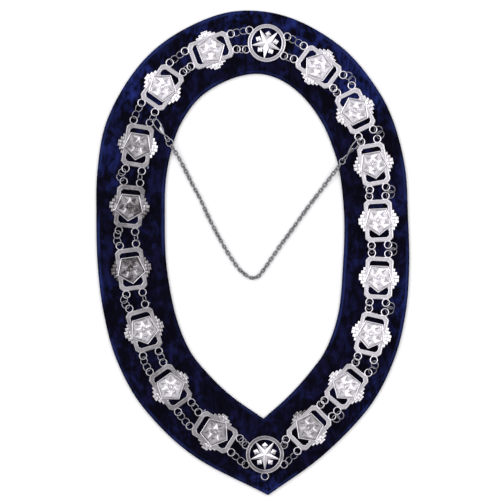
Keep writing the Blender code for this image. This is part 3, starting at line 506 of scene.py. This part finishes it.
def pentagon_shell(shell):
    """Pentagon shield over the side bars: raised rim, fine groove and a faceted star."""
    # columns: radius at a corner, height, wear
    profile = ((PENTAGON, 0.0, 0.5), (PENTAGON, 3.45, 0.8), (14.85, 3.9, 1.0), (14.4, 4.1, 1.0),
               (13.95, 3.95, 1.0), (13.7, 3.6, 0.4), (13.6, 3.2, 0.0), (13.2, 3.2, 0.0),
               (12.95, 3.55, 0.8))
    rows = [pentagon_row(radius, z) for radius, z, _ in profile]
    points = [point for row in rows for point in row]
    wear = [row[2] for row in profile for _ in range(10)]
    faces = skin(len(rows), 10)
    faces.append(tuple(reversed(range(10))))
    last = (len(rows) - 1) * 10

    def add(radius, degrees, z, worn):
        angle = radians(degrees)
        points.append((radius * cos(angle), radius * sin(angle), z))
        wear.append(worn)
        return len(points) - 1

    # ridges of the star point at the sides, and a sunken triangle points at each corner
    hub, tips = [], []
    for k in range(10):
        hub.append(add(3.7, 54.0 + 36.0 * k, 4.05 if k % 2 == 0 else 4.55, 0.9))
    for k in range(5):
        tips.append(add(9.8, 90.0 + 72.0 * k, 4.2, 1.0))
    for k in range(5):
        middle = 54.0 + 72.0 * k
        edge, after, before = last + 2 * k, last + 2 * k + 1, last + (2 * k - 1) % 10
        valley = add(5.2, middle, 3.85, 0.6)
        left, right = add(6.3, middle + 21.0, 4.0, 0.9), add(6.3, middle - 21.0, 4.0, 0.9)
        point = add(11.4, middle, 3.65, 0.8)
        low = add(7.6, middle, 3.0, 0.3)
        for base, tip, side, hub_tip in ((left, tips[k], after, hub[2 * k + 1]),
                                         (right, tips[k - 1], before, hub[2 * k - 1])):
            faces += [(hub[2 * k], valley, base), (hub[2 * k], base, hub_tip),
                      (base, tip, hub_tip), (base, point, tip), (point, side, tip),
                      (point, edge, side), (base, point, low)]
        faces += [(valley, left, right), (left, right, low)]
    # columns: radius, height, wear
    boss = ((3.4, 4.15, 0.5), (2.3, 4.2, 0.6), (1.9, 4.75, 0.9), (0.9, 5.15, 1.0))
    before = hub
    for radius, z, worn in boss:
        row = []
        for k in range(10):
            angle = radians(54.0 + 36.0 * k)
            pinch = radius / (abs(cos(angle)) * 1.15 + abs(sin(angle)) * 0.88)
            row.append(add(pinch, 54.0 + 36.0 * k, z, worn))
        ends = before + row
        faces += [tuple(ends[i] for i in face) for face in skin(2, 10)]
        before = row
    faces.append(tuple(before))
    shell.add(points, faces, wear)


def diamond_shell(shell):
    """Raised diamond line round the boss."""
    # columns: half height of the diamond, height, wear
    profile = ((5.4, 3.3, 0.1), (5.25, 4.75, 1.0), (4.95, 5.0, 1.0), (4.65, 4.75, 1.0),
               (4.5, 3.3, 0.0), (5.4, 3.3, 0.1))
    shell.loop(profile, lambda reach, z: [(reach * 0.76, 0.0, z), (0.0, reach, z),
                                          (-reach * 0.76, 0.0, z), (0.0, -reach, z)])


def ray_shell(shell, side):
    """Six flat-backed rods on a stepped plate, each with a bead at its tip."""
    pitch, setback = 3.4, 2.05
    upper = []
    for step in range(3):
        reach = HALF_WIDTH + setback * (3 - step) - 0.35
        upper += [(reach, pitch * step), (reach, pitch * (step + 1) - 0.2)]
    upper = upper[1:] + [(11.0, pitch * 3 - 0.2)]
    plate = [(x, -y) for x, y in reversed(upper)] + upper
    if side < 0:
        plate = [(-x, y) for x, y in reversed(plate)]
    shell.rings([[(x, y, z) for x, y in plate] for z in (0.0, 2.15)], [0.4, 0.7])
    for step in range(3):
        reach = HALF_WIDTH + setback * (3 - step)
        for sign in (-1, 1):
            y = sign * (step + 0.5) * pitch
            rows, wear = [], []
            # columns: distance back from the tip, share of the full section, wear
            profile = ((0.0, 0.55, 0.9), (0.08, 0.80, 1.0), (0.3, 0.94, 1.0), (0.8, 1.0, 1.0),
                       (1.4, 1.0, 0.9), (1.65, 0.90, 0.3), (1.8, 0.90, 0.3), (2.05, 0.98, 0.9),
                       (4.2, 1.0, 0.85), (7.5, 1.0, 0.7))
            for back, share, worn in reversed(profile):
                x = reach - back
                row = []
                for k in range(12):
                    a = pi * k / 11
                    wide = copysign(abs(cos(a)) ** 0.6, cos(a))
                    high = 2.0 + 0.55 * sin(a) ** 0.7 if 0 < k < 11 else 0.0
                    row.append((side * x, y + wide * pitch * 0.50 * (0.35 + 0.65 * share),
                                share * high))
                if side < 0:
                    row.reverse()
                rows.append(row)
                wear.append(worn)
            shell.rings(rows, wear, smooth=True)


def engraved(mesh, width, depth, low, high, reach):
    """Fine cut lines between the facets that face up, from low to high and within reach."""
    shape = bmesh.new()
    shape.from_mesh(mesh)
    wear = shape.verts.layers.float["wear"]
    chosen = [face for face in shape.faces
              if face.normal.z > 0.75 and all(low < v.co.z < high for v in face.verts)
              and all(hypot(v.co.x, v.co.y) < reach for v in face.verts)]
    edges = {v for face in chosen for v in face.verts}
    bmesh.ops.inset_individual(shape, faces=chosen, thickness=width)
    for v in edges:
        v.co.z -= depth
        v[wear] = 0.3
    shape.to_mesh(mesh)
    shape.free()
    return mesh


def plaque_mesh(material):
    """One casting: frame, shield and boss, a wing of rays on each side, and four loops."""
    shell = Shell()
    pentagon_shell(shell)
    shield = engraved(outward(shell.mesh("shield", material)), width=0.13, depth=0.17, low=3.4,
                      high=4.8, reach=13.0)
    shell = Shell()
    frame_shell(shell)
    diamond_shell(shell)
    mesh = joined([shield, outward(shell.mesh("plaque_plate", material))])
    mesh = bevelled(mesh, 0.10)
    loops = Shell()
    for side in (1, -1):
        ray_shell(loops, side)
    for x, y in ((-8.2, 24.5), (8.2, 24.5), (-8.2, -24.5), (8.2, -24.5)):
        loops.torus((x, y, LOOP_MIDDLE), LOOP_RADIUS, LOOP_WIRE)
        foot = copysign(21.2, y)
        for dx in (-1.9, 1.9):
            loops.torus((x + dx, foot, LOOP_MIDDLE - 0.25), 0.32, 0.9, 8, 6, 0.4)
    return joined([mesh, outward(loops.mesh("plaque_wire", material))])


def joined(meshes):
    """One mesh out of several, with their point attributes."""
    shape = bmesh.new()
    for mesh in meshes:
        shape.from_mesh(mesh)
    made = bpy.data.meshes.new("joined")
    shape.to_mesh(made)
    shape.free()
    made.materials.append(meshes[0].materials[0])
    return made


def roundel_mesh(material, with_pendant):
    """Pierced medallion: milled rim, ridged star on a small web, and studs between its arms."""
    shell = Shell()
    inside = ROUNDEL_INSIDE
    # columns: radius, height, wear
    profile = ((ROUNDEL, 0.0, 0.5), (ROUNDEL, 2.5, 0.8), (18.85, 2.9, 1.0), (18.5, 3.1, 1.0),
               (18.1, 3.0, 0.9), (17.9, 2.72, 0.3), (16.1, 2.72, 0.3), (15.9, 3.0, 0.9),
               (15.5, 3.1, 1.0), (15.15, 2.9, 1.0), (inside, 2.5, 0.8), (inside, 0.0, 0.5),
               (ROUNDEL, 0.0, 0.5))
    shell.loop(profile, lambda radius, z: circle(radius, 72, 0.0, z))
    star = []
    for i in range(10):
        radius = inside + 1.2 if i % 2 == 0 else inside * 0.33
        angle = radians(270.0 + 36.0 * i)
        star.append((radius * cos(angle), radius * sin(angle)))
    points = [(x, y, 0.3) for x, y in star]
    points += [(x, y, 2.35) for x, y in star]
    points.append((0.0, 0.0, 3.75))
    faces = skin(2, 10)
    faces += [(10 + i, 10 + (i + 1) % 10, 20) for i in range(10)]
    faces.append(tuple(reversed(range(10))))
    shell.add(points, faces, [0.3] * 10 + [1.0, 0.3] * 5 + [1.0])
    web = [circle(inside * 0.52, 10, radians(90.0), z) for z in (0.2, 1.35)]
    shell.rings(web, [0.2, 0.35])
    for k in range(5):
        angle = radians(90.0 + 72.0 * k)
        middle = (inside * 0.62 * cos(angle), inside * 0.62 * sin(angle))
        low, top = ([(x + middle[0], y + middle[1], z) for x, y, _ in circle(3.05, 4, angle)]
                    for z in (0.0, 1.75))
        faces = skin(2, 4)
        faces += [(4 + i, 4 + (i + 1) % 4, 8) for i in range(4)]
        faces.append((3, 2, 1, 0))
        shell.add(low + top + [(middle[0], middle[1], 2.7)], faces, [0.3] * 4 + [0.7] * 4 + [1.0])
    mesh = bevelled(outward(shell.mesh("roundel_plate", material)), 0.10)
    ribs = Shell()
    for i in range(RIBS):
        a = TAU * i / RIBS
        c, s = cos(a), sin(a)
        corners = [(16.15, -0.22, 2.6), (17.85, -0.24, 2.6), (17.85, 0.24, 2.6), (16.15, 0.22, 2.6),
                   (16.2, 0.0, 2.98), (17.8, 0.0, 2.98)]
        spots = [(x * c - y * s, x * s + y * c, z) for x, y, z in corners]
        ribs.add(spots, [(0, 1, 5, 4), (2, 3, 4, 5), (1, 2, 5), (3, 0, 4), (3, 2, 1, 0)], 0.85)
    turns = [27.0, -27.0, 153.0, 207.0] + ([270.0] if with_pendant else [])
    for turn in turns:
        a = radians(turn)
        middle = (ROUNDEL_LOOPS * cos(a), ROUNDEL_LOOPS * sin(a), LOOP_MIDDLE)
        ribs.torus(middle, LOOP_RADIUS, LOOP_WIRE)
    return joined([mesh, outward(ribs.mesh("roundel_wire", material))])


def set_painted_dark_reflection(mesh, middle, bars, left, right):
    """Painted dark reflection on a link by its parts, kept as a point attribute."""
    count = len(mesh.vertices)
    spots = np.empty(count * 3)
    mesh.vertices.foreach_get("co", spots)
    x, y, _ = spots.reshape(-1, 3).T
    value = np.full(count, bars)
    # a roundel's loops reach 23 mm to the side, and a plaque's rays 20 mm
    is_roundel = max(x.max(), -x.min()) > 22.0
    if is_roundel:
        reach = np.hypot(x, y) * 0.9
    else:
        sides = np.radians(90.0 + 72.0 * np.arange(5))
        reach = np.max([x * cos(a) + y * sin(a) for a in sides], axis=0)
        beside = np.abs(y) < 10.6
        value = np.where((x < -HALF_WIDTH + 0.4) & beside, left, value)
        value = np.where((x > HALF_WIDTH - 0.4) & beside, right, value)
    # round the middle, the shield's rim gets a little less painted dark reflection than the bars
    value = np.where(reach < 12.4, bars * 0.7, value)
    value = np.where(reach < 11.2, middle, value)
    keep(mesh, "toning", value)


def make_links(material):
    plaque = plaque_mesh(material)
    roundels = {"roundel_top": roundel_mesh(material, False),
                "roundel_bottom": roundel_mesh(material, True)}
    for name, x, y, z, turn, pitch, *dark_reflection_shares in LINKS:
        mesh = (roundels.get(name) or plaque).copy()
        # painted dark reflection on each link, set for its parts
        set_painted_dark_reflection(mesh, *dark_reflection_shares)
        placed(mesh, (x, y, z), (turn, "Z"), (pitch, "X"))
        piece("dressed_" + name, mesh, [name])


def node_tree(name, inputs):
    """Geometry tree with named inputs. Each input is a name, a kind and a default."""
    tree = bpy.data.node_groups.new(name, "GeometryNodeTree")
    tree.interface.new_socket("Geometry", in_out="INPUT", socket_type="NodeSocketGeometry")
    for label, kind, value in inputs:
        socket = tree.interface.new_socket(label, in_out="INPUT", socket_type="NodeSocket" + kind)
        if value is not None:
            socket.default_value = value
    tree.interface.new_socket("Geometry", in_out="OUTPUT", socket_type="NodeSocketGeometry")
    return tree, tree.nodes.new("NodeGroupInput"), tree.nodes.new("NodeGroupOutput")


def connect(tree, kind, links, settings=None):
    """New node, whose inputs take sockets, constants, or another node's first output."""
    made = tree.nodes.new(kind if "Node" in kind else "GeometryNode" + kind)
    for name, value in (settings or {}).items():
        setattr(made, name, value)
    for socket, value in links.items():
        value = value.outputs[0] if isinstance(value, bpy.types.Node) else value
        if isinstance(value, bpy.types.NodeSocket):
            tree.links.new(value, made.inputs[socket])
        else:
            made.inputs[socket].default_value = value
    return made


def reckon(tree, operation, one, two):
    return connect(tree, "ShaderNodeMath", {0: one, 1: two}, {"operation": operation})


def repeat(tree, end, points, wire, rotation, material):
    """Put the wire on each point as real, smooth mesh in the material."""
    put = connect(tree, "InstanceOnPoints", {"Points": points, "Instance": wire, "Rotation": rotation})
    real = connect(tree, "RealizeInstances", {0: put})
    shade = connect(tree, "SetShadeSmooth", {0: real, 2: True})
    look = connect(tree, "SetMaterial", {0: shade, "Material": material})
    tree.links.new(look.outputs[0], end.inputs[0])


def ring_tree(material):
    """A cut wire ring on each point, turned by the point's own turn."""
    inputs = (("Radius", "Float", 0.004), ("Wire", "Float", 0.001), ("Steps", "Int", 40))
    tree, start, end = node_tree("wire_rings", inputs)
    given = start.outputs
    arc = connect(tree, "CurveArc", {"Resolution": given["Steps"], "Radius": given["Radius"],
                                     "Sweep Angle": radians(357.6)})
    half = reckon(tree, "MULTIPLY", given["Wire"], 0.5)
    section = connect(tree, "CurvePrimitiveCircle", {"Resolution": 10, "Radius": half})
    wire = connect(tree, "CurveToMesh", {"Curve": arc, "Profile Curve": section, "Fill Caps": True})
    turn = connect(tree, "InputNamedAttribute", {"Name": "turn"}, {"data_type": "FLOAT_VECTOR"})
    rotation = connect(tree, "FunctionNodeEulerToRotation", {0: turn})
    repeat(tree, end, start, wire, rotation, material)
    return tree


def chain_tree(material):
    """Oval links along a line, each turned a quarter from the last, with a slight twist."""
    inputs = (("Pitch", "Float", 0.0035), ("Length", "Float", 0.0062), ("Width", "Float", 0.0044),
              ("Wire", "Float", 0.0013), ("Seed", "Int", 7))
    tree, start, end = node_tree("oval_links", inputs)
    given = start.outputs
    line = connect(tree, "CurveToPoints", {"Curve": start, "Length": given["Pitch"]},
                   {"mode": "LENGTH"})
    # one link, whose sizes are those of the wire's middle
    width = reckon(tree, "SUBTRACT", given["Width"], given["Wire"])
    length = reckon(tree, "SUBTRACT", given["Length"], given["Wire"])
    oval = connect(tree, "CurvePrimitiveQuadrilateral", {"Width": length, "Height": width})
    soft = connect(tree, "FilletCurve", {"Curve": oval, "Radius": reckon(tree, "MULTIPLY", width, 0.5),
                                         "Count": 5, "Limit Radius": True}, {"mode": "POLY"})
    half = reckon(tree, "MULTIPLY", given["Wire"], 0.5)
    section = connect(tree, "CurvePrimitiveCircle", {"Resolution": 8, "Radius": half})
    wire = connect(tree, "CurveToMesh", {"Curve": soft, "Profile Curve": section})
    # its turn about the line
    parity = reckon(tree, "MODULO", connect(tree, "InputIndex", {}), 2.0)
    wobble = connect(tree, "FunctionNodeRandomValue", {2: -0.30, 3: 0.30, "Seed": given["Seed"]},
                     {"data_type": "FLOAT"})
    quarter = reckon(tree, "MULTIPLY", parity, radians(90.0))
    lean = reckon(tree, "ADD", reckon(tree, "ADD", quarter, wobble.outputs[1]), radians(24.0))
    roll = connect(tree, "FunctionNodeEulerToRotation",
                   {0: connect(tree, "ShaderNodeCombineXYZ", {0: lean})})
    along = connect(tree, "FunctionNodeAlignRotationToVector", {"Vector": line.outputs["Tangent"]},
                    {"axis": "X", "pivot_axis": "Z"})
    rotation = connect(tree, "FunctionNodeRotateRotation", {0: along, 1: roll},
                       {"rotation_space": "LOCAL"})
    repeat(tree, end, line, wire, rotation, material)
    return tree


def grown(source, tree, values):
    """Mesh that a tree makes from an object, which is then removed."""
    step = source.modifiers.new("tree", "NODES")
    step.node_group = tree
    for item in tree.interface.items_tree:
        if item.item_type == "SOCKET" and item.in_out == "INPUT" and item.name in values:
            step[item.identifier] = values[item.name]
    graph = bpy.context.evaluated_depsgraph_get()
    mesh = bpy.data.meshes.new_from_object(source.evaluated_get(graph))
    bpy.data.objects.remove(source)
    return mesh


def without_dark_reflection(mesh, wear=None):
    """Set a mesh's painted dark reflection to none, and its wear where one is given."""
    for name, value in (("wear", wear), ("toning", 0.0)):
        if value is not None:
            keep(mesh, name, [value] * len(mesh.vertices))
    return mesh


def make_rings(tree, end_tree):
    nodes = {}
    for number, (inner, *outer) in enumerate(RINGS, 1):
        nodes["ring_inner_%02d" % number] = (RING_RADIUS, [inner])
        nodes["ring_outer_%02d" % number] = (RING_RADIUS, outer)
    for name, radius, *row in END_RINGS:
        nodes[name] = (radius, [row])
    # the cut in each ring is turned by the golden angle from the last one's
    spin, golden = 0.0, 2.39996
    for name, (radius, rows) in nodes.items():
        mesh = bpy.data.meshes.new("points")
        mesh.from_pydata([(x * MM, y * MM, z * MM) for x, y, z, _, _ in rows], [], [])
        turns = []
        for _, _, _, bearing, lean in rows:
            spin += golden
            turned = (Matrix.Rotation(radians(bearing), 3, "Z")
                      @ Matrix.Rotation(radians(lean), 3, "Y")
                      @ Matrix.Rotation(spin, 3, "Z"))
            turns += list(turned.to_euler("XYZ"))
        layer = mesh.attributes.new("turn", "FLOAT_VECTOR", "POINT")
        layer.data.foreach_set("vector", turns)
        source = added("points", mesh)
        is_end = name.startswith("end")
        wire = END_RING_WIRE if is_end else RING_WIRE
        values = {"Radius": radius * MM, "Wire": wire * MM, "Steps": 40}
        mesh = without_dark_reflection(grown(source, end_tree if is_end else tree, values), 0.7)
        piece("dressed_" + name, mesh, [name])


def make_chain(tree):
    line = smooth_path(CHAIN_ROUTE, 120) * MM
    curve = bpy.data.curves.new("route", "CURVE")
    curve.dimensions = "3D"
    spline = curve.splines.new("POLY")
    spline.points.add(len(line) - 1)
    for point, spot in zip(spline.points, line):
        point.co = (*spot, 1.0)
    mesh = without_dark_reflection(grown(added("route", curve), tree, {}), 0.6)
    piece("linked_safety_chain", mesh, ["safety_chain"])


def wire_along(shell, path, radius, section=10, closed=True, wear=0.8):
    """Round wire along a path of points in space."""
    path = [Vector(point) for point in path]
    count = len(path)
    rows = []
    for i in range(count):
        ahead = path[(i + 1) % count] if closed or i < count - 1 else path[i]
        behind = path[i - 1] if closed or i > 0 else path[i]
        along = (ahead - behind).normalized()
        side = along.cross(Vector((0.0, 0.0, 1.0))).normalized()
        up = side.cross(along).normalized()
        rows.append([path[i] + (side * cos(TAU * k / section) + up * sin(TAU * k / section))
                     * radius for k in range(section)])
    if closed:
        rows.append(rows[0])
    shell.rings(rows, [wear] * len(rows), True, not closed, not closed)


def clip_mesh(material):
    """Bent wire hook that crosses at its neck and opens into an eye, with a sheet tongue."""
    half, neck = 3.2, 16.4
    control = []
    for a in np.linspace(90.0, 270.0, 13):
        control.append((half * cos(radians(a)), half * sin(radians(a)), 0.0))
    side = [(3.0, 3.3, 0.0), (6.5, 3.05, 0.0), (10.0, 2.35, -0.1), (13.0, 1.4, -0.35), (15.0, 0.55, -0.6),
            (neck, -0.15, -0.6), (17.8, -0.95, -0.4), (19.6, -1.65, -0.2), (21.2, -2.05, 0.0),
            (22.5, -1.75, 0.0), (23.2, -0.95, 0.0)]
    control += [(x, -y, -z) for x, y, z in side] + [(23.4, 0.0, 0.0)] + list(reversed(side))
    shell = Shell()
    wire_along(shell, control, 0.58, wear=0.85)
    # columns: distance along, edge on one side and on the other, height
    gate = ((2.2, 2.5, 3.7, 0.55), (3.6, 2.3, 3.9, 0.75), (6.2, 1.9, 3.6, 0.70), (6.8, -0.4, 3.2, 0.50),
            (8.2, -1.7, 2.6, 0.30), (11.0, -1.35, 1.9, 0.20), (14.0, -0.95, 1.1, 0.15),
            (16.6, -0.7, 0.7, 0.0))
    rows = []
    for x, low, high, z in gate:
        steps = np.linspace(-1.0, 1.0, 7)
        middle, width = (low + high) / 2.0, (high - low) / 2.0
        row = [(x, middle + width * t, z + 0.25 * (1.0 - t * t) + 0.16) for t in steps]
        rows.append(row + [(x, y, up - 0.32) for x, y, up in reversed(row)])
    shell.rings(rows, [1.0, 0.9, 0.8, 0.7, 0.8, 0.7, 0.6, 0.5], True)
    return without_dark_reflection(outward(shell.mesh("clip", material)))


def make_clips(material):
    source = clip_mesh(material)
    for name, x, y, z, turn, pitch, roll in CLIPS:
        mesh = placed(source.copy(), (x, y, z), (turn, "Z"), (pitch, "Y"), (roll, "X"))
        piece("dressed_" + name, mesh, [name])


def make_stitches():
    """Short pale stitches that tie some of the links to the velvet."""
    paint = Paint("sewing_thread", Roughness=0.6)
    twist = paint.noise(2500.0, 1.0)
    material = paint.set(Base_Color=paint.ramp(twist, (0.2, (0.30, 0.36, 0.58)),
                                               (0.8, (0.55, 0.60, 0.80))))
    shell = Shell()
    # columns: across, up, bearing in degrees, length
    stitches = ((-104.8, 85.3, 70.0, 2.6), (-113.3, 9.8, 100.0, 2.2), (-103.8, -50.2, 20.0, 2.2),
                (-86.8, -109.2, 55.0, 2.4), (-48.3, -157.7, 30.0, 2.4), (111.7, 65.8, 80.0, 2.2))
    for x, y, bearing, length in stitches:
        a = radians(bearing)
        for shift, lift in ((-0.25, 0.0), (0.3, 0.12)):
            path = []
            for t in np.linspace(-1.0, 1.0, 9):
                along = t * length / 2.0
                path.append((x + along * cos(a) - shift * sin(a),
                             y + along * sin(a) + shift * cos(a),
                             3.0 + lift + 0.75 * (1.0 - t * t)))
            wire_along(shell, path, 0.24, 8, False)
    mesh = outward(shell.mesh("stitches", material))
    mesh.transform(Matrix.Scale(MM, 4))
    piece("stitches", mesh)


def band_rows(count):
    """Points at even steps along the band's outer edge, with those across from them inside."""
    rows = np.array(OUTLINE + OUTLINE[:1]) * np.array([BAND_WIDTH, BAND_LENGTH] * 2)
    path = smooth_path(rows, count + 1)[:-1]
    outer = path[:, :2]
    middle = (outer.max(axis=0) + outer.min(axis=0)) / 2.0
    fit = np.array([BAND_WIDTH, BAND_LENGTH]) / (outer.max(axis=0) - outer.min(axis=0))
    return (outer - middle) * fit, (path[:, 2:] - middle) * fit


def make_velvet(material):
    """Padded band: turned edges with a soft crown and small ripples in between."""
    count = 420
    outer, inner = band_rows(count)
    width = np.linalg.norm(inner - outer, axis=1)
    across = (inner - outer) / width[:, None]
    # columns: distance in from the edge, height, how much of the painted edge highlight shows
    turned = ((0.9, 0.0, 0.1), (0.25, 0.35, 0.15), (0.0, 1.0, 0.2), (0.0, 1.8, 0.3),
              (0.25, 2.45, 0.35), (0.8, 2.86, 0.3), (1.6, 2.98, 0.5), (2.4, 2.90, 0.9),
              (3.0, 2.72, 0.5), (3.6, 2.84, 0.1), (4.6, 2.97, 0.0))
    field = np.linspace(0.0, 1.0, 40)[1:-1]
    rng = np.random.default_rng(4)
    waves = [(rng.uniform(3, 46), rng.uniform(0, TAU), rng.uniform(-3.0, 3.0)) for _ in range(12)]
    along = np.linspace(0.0, TAU, count, endpoint=False)
    rows, edge = [], []

    def put(spot, z, painted_edge_highlight):
        rows.append(np.column_stack([spot, np.broadcast_to(z, len(spot))]))
        edge.append(np.broadcast_to(painted_edge_highlight, len(spot)).astype(float))

    for inset, z, painted_edge_highlight in turned:
        put(outer + across * inset, z, painted_edge_highlight)
    for share in field:
        inset = 4.6 + share * (width - 9.2)
        ripple = sum(np.sin(n * along + p + s * share * 3.0) for n, p, s in waves) / 12.0
        put(outer + across * inset[:, None], 2.97 + 0.11 * ripple * np.sin(np.pi * share) - 0.06, 0.0)
    for inset, z, painted_edge_highlight in reversed(turned):
        put(inner - across * inset, z, painted_edge_highlight)
    spots = np.stack(rows, axis=1)
    lines = len(rows)
    points = spots.reshape(-1, 3)
    faces = [tuple(i % len(points) for i in face) for face in skin(count + 1, lines)]
    mesh = bpy.data.meshes.new("velvet")
    mesh.from_pydata([tuple(point) for point in points], [], faces)
    # the edge attribute holds the painted highlight line along the turned edges
    keep(mesh, "edge", np.stack(edge, axis=1).reshape(-1))
    # columns: across, up, reach, strength of the brushed nap
    strokes = ((-120.0, 165.0, 55.0, 0.8), (-60.0, 220.0, 45.0, 0.6), (60.0, 225.0, 48.0, 0.9),
               (112.0, 172.0, 52.0, 1.0), (-148.0, 90.0, 45.0, 0.5), (145.0, 40.0, 60.0, 0.4),
               (-6.0, 240.0, 46.0, 1.0), (-140.0, -60.0, 50.0, 0.4), (120.0, -150.0, 45.0, 0.5),
               (15.0, -232.0, 30.0, 0.6), (-80.0, -190.0, 40.0, 0.35), (150.0, -60.0, 50.0, 0.45))
    value = np.full(len(points), 0.16)
    for x, y, reach, strength in strokes:
        distance = np.hypot(points[:, 0] - x, points[:, 1] - y) / reach
        value = np.maximum(value, strength * np.exp(-distance ** 2 * 1.6))
    keep(mesh, "brushed", value)
    mesh.transform(Matrix.Scale(MM, 4))
    mesh.polygons.foreach_set("use_smooth", [True] * len(mesh.polygons))
    mesh.materials.append(material)
    outward(mesh)
    band = piece("velvet_band", mesh, ["velvet_backing"])


def make_floor():
    mesh = bpy.data.meshes.new("floor")
    size = 4.0
    mesh.from_pydata([(-size, -size, 0), (size, -size, 0), (size, size, 0), (-size, size, 0)], [],
                     [(0, 1, 2, 3)])
    paint = Paint("white_paper", Roughness=0.9, Specular_IOR_Level=0.1)
    shade = paint.noise(3.0, 2.0)
    mesh.materials.append(paint.set(Base_Color=paint.ramp(shade, (0.0, 0.93), (1.0, 0.95))))
    floor = added("floor", mesh)
    floor.location.z = -0.0004


def make_light(name, place, size, power):
    """Soft lamp that points at the middle of the collar."""
    lamp = bpy.data.lights.new(name, "AREA")
    lamp.shape = "RECTANGLE"
    lamp.size, lamp.size_y = size
    lamp.energy = power
    made = added(name, lamp)
    made.location = place
    made.rotation_euler = (-Vector(place)).to_track_quat("-Z", "Y").to_euler()
    made.visible_camera = False


def make_studio():
    """Copy stand: a pale tent that is greyer straight above, and two soft lamps beside it."""
    world = bpy.data.worlds.new("tent")
    world.use_nodes = True
    tree = world.node_tree
    ground = tree.nodes["Background"]
    where = tree.nodes.new("ShaderNodeTexCoord")
    parts = tree.nodes.new("ShaderNodeSeparateXYZ")
    ramp = tree.nodes.new("ShaderNodeValToRGB")
    # columns: sine of the height above the horizon, brightness
    tent = ((0.0, 0.38), (0.35, 0.56), (0.62, 0.95), (0.86, 1.08), (0.955, 0.88), (0.985, 0.68),
            (1.0, 0.62))
    while len(ramp.color_ramp.elements) < len(tent):
        ramp.color_ramp.elements.new(0.5)
    for element, (place, level) in zip(ramp.color_ramp.elements, tent):
        element.position = place
        element.color = (level * 0.985, level * 0.98, level, 1.0)
    tree.links.new(where.outputs["Generated"], parts.inputs[0])
    tree.links.new(parts.outputs["Z"], ramp.inputs[0])
    tree.links.new(ramp.outputs[0], ground.inputs["Color"])
    side = tree.nodes.new("ShaderNodeVectorMath")
    side.operation = "DOT_PRODUCT"
    side.inputs[1].default_value = (-0.36, 0.42, 0.0)
    level = tree.nodes.new("ShaderNodeMath")
    level.inputs[1].default_value = 1.0
    tree.links.new(where.outputs["Generated"], side.inputs[0])
    tree.links.new(side.outputs["Value"], level.inputs[0])
    tree.links.new(level.outputs[0], ground.inputs["Strength"])
    bpy.context.scene.world = world
    make_light("left_lamp", (-0.95, 0.35, 1.15), (1.1, 1.3), 5.5)
    make_light("right_lamp", (0.95, 0.15, 1.15), (1.1, 1.3), 6.5)


def make_camera():
    """Camera straight above, so far off that its frame is half a metre wide on the table."""
    lens, sensor, view = 200.0, 36.0, 0.5
    distance = view * lens / sensor
    data = bpy.data.cameras.new("above")
    data.lens = lens
    data.sensor_width = sensor
    data.clip_end = 100.0
    camera = added("above", data)
    camera.location = (-0.0028, 0.0028, distance + 0.004)
    bpy.context.scene.camera = camera


plated = plated_material("bright_plating", (0.87, 0.842, 0.885), 0.20, 0.42, (0.36, 0.338, 0.378))
ring_look = plated_material("ring_wire", (0.34, 0.33, 0.36), 0.24, 0.45, (0.14, 0.14, 0.155))
clip_look = plated_material("clip_steel", (0.38, 0.38, 0.41), 0.24, 0.45, (0.17, 0.165, 0.18))
chain_look = plated_material("chain_steel", (0.29, 0.285, 0.30), 0.30, 0.50, (0.085, 0.083, 0.09))
make_velvet(velvet_material())
make_links(plated)
make_rings(ring_tree(ring_look), ring_tree(clip_look))
make_clips(clip_look)
make_chain(chain_tree(chain_look))
make_stitches()
make_floor()
make_studio()
make_camera()
bpy.context.scene.view_settings.view_transform = "Standard"
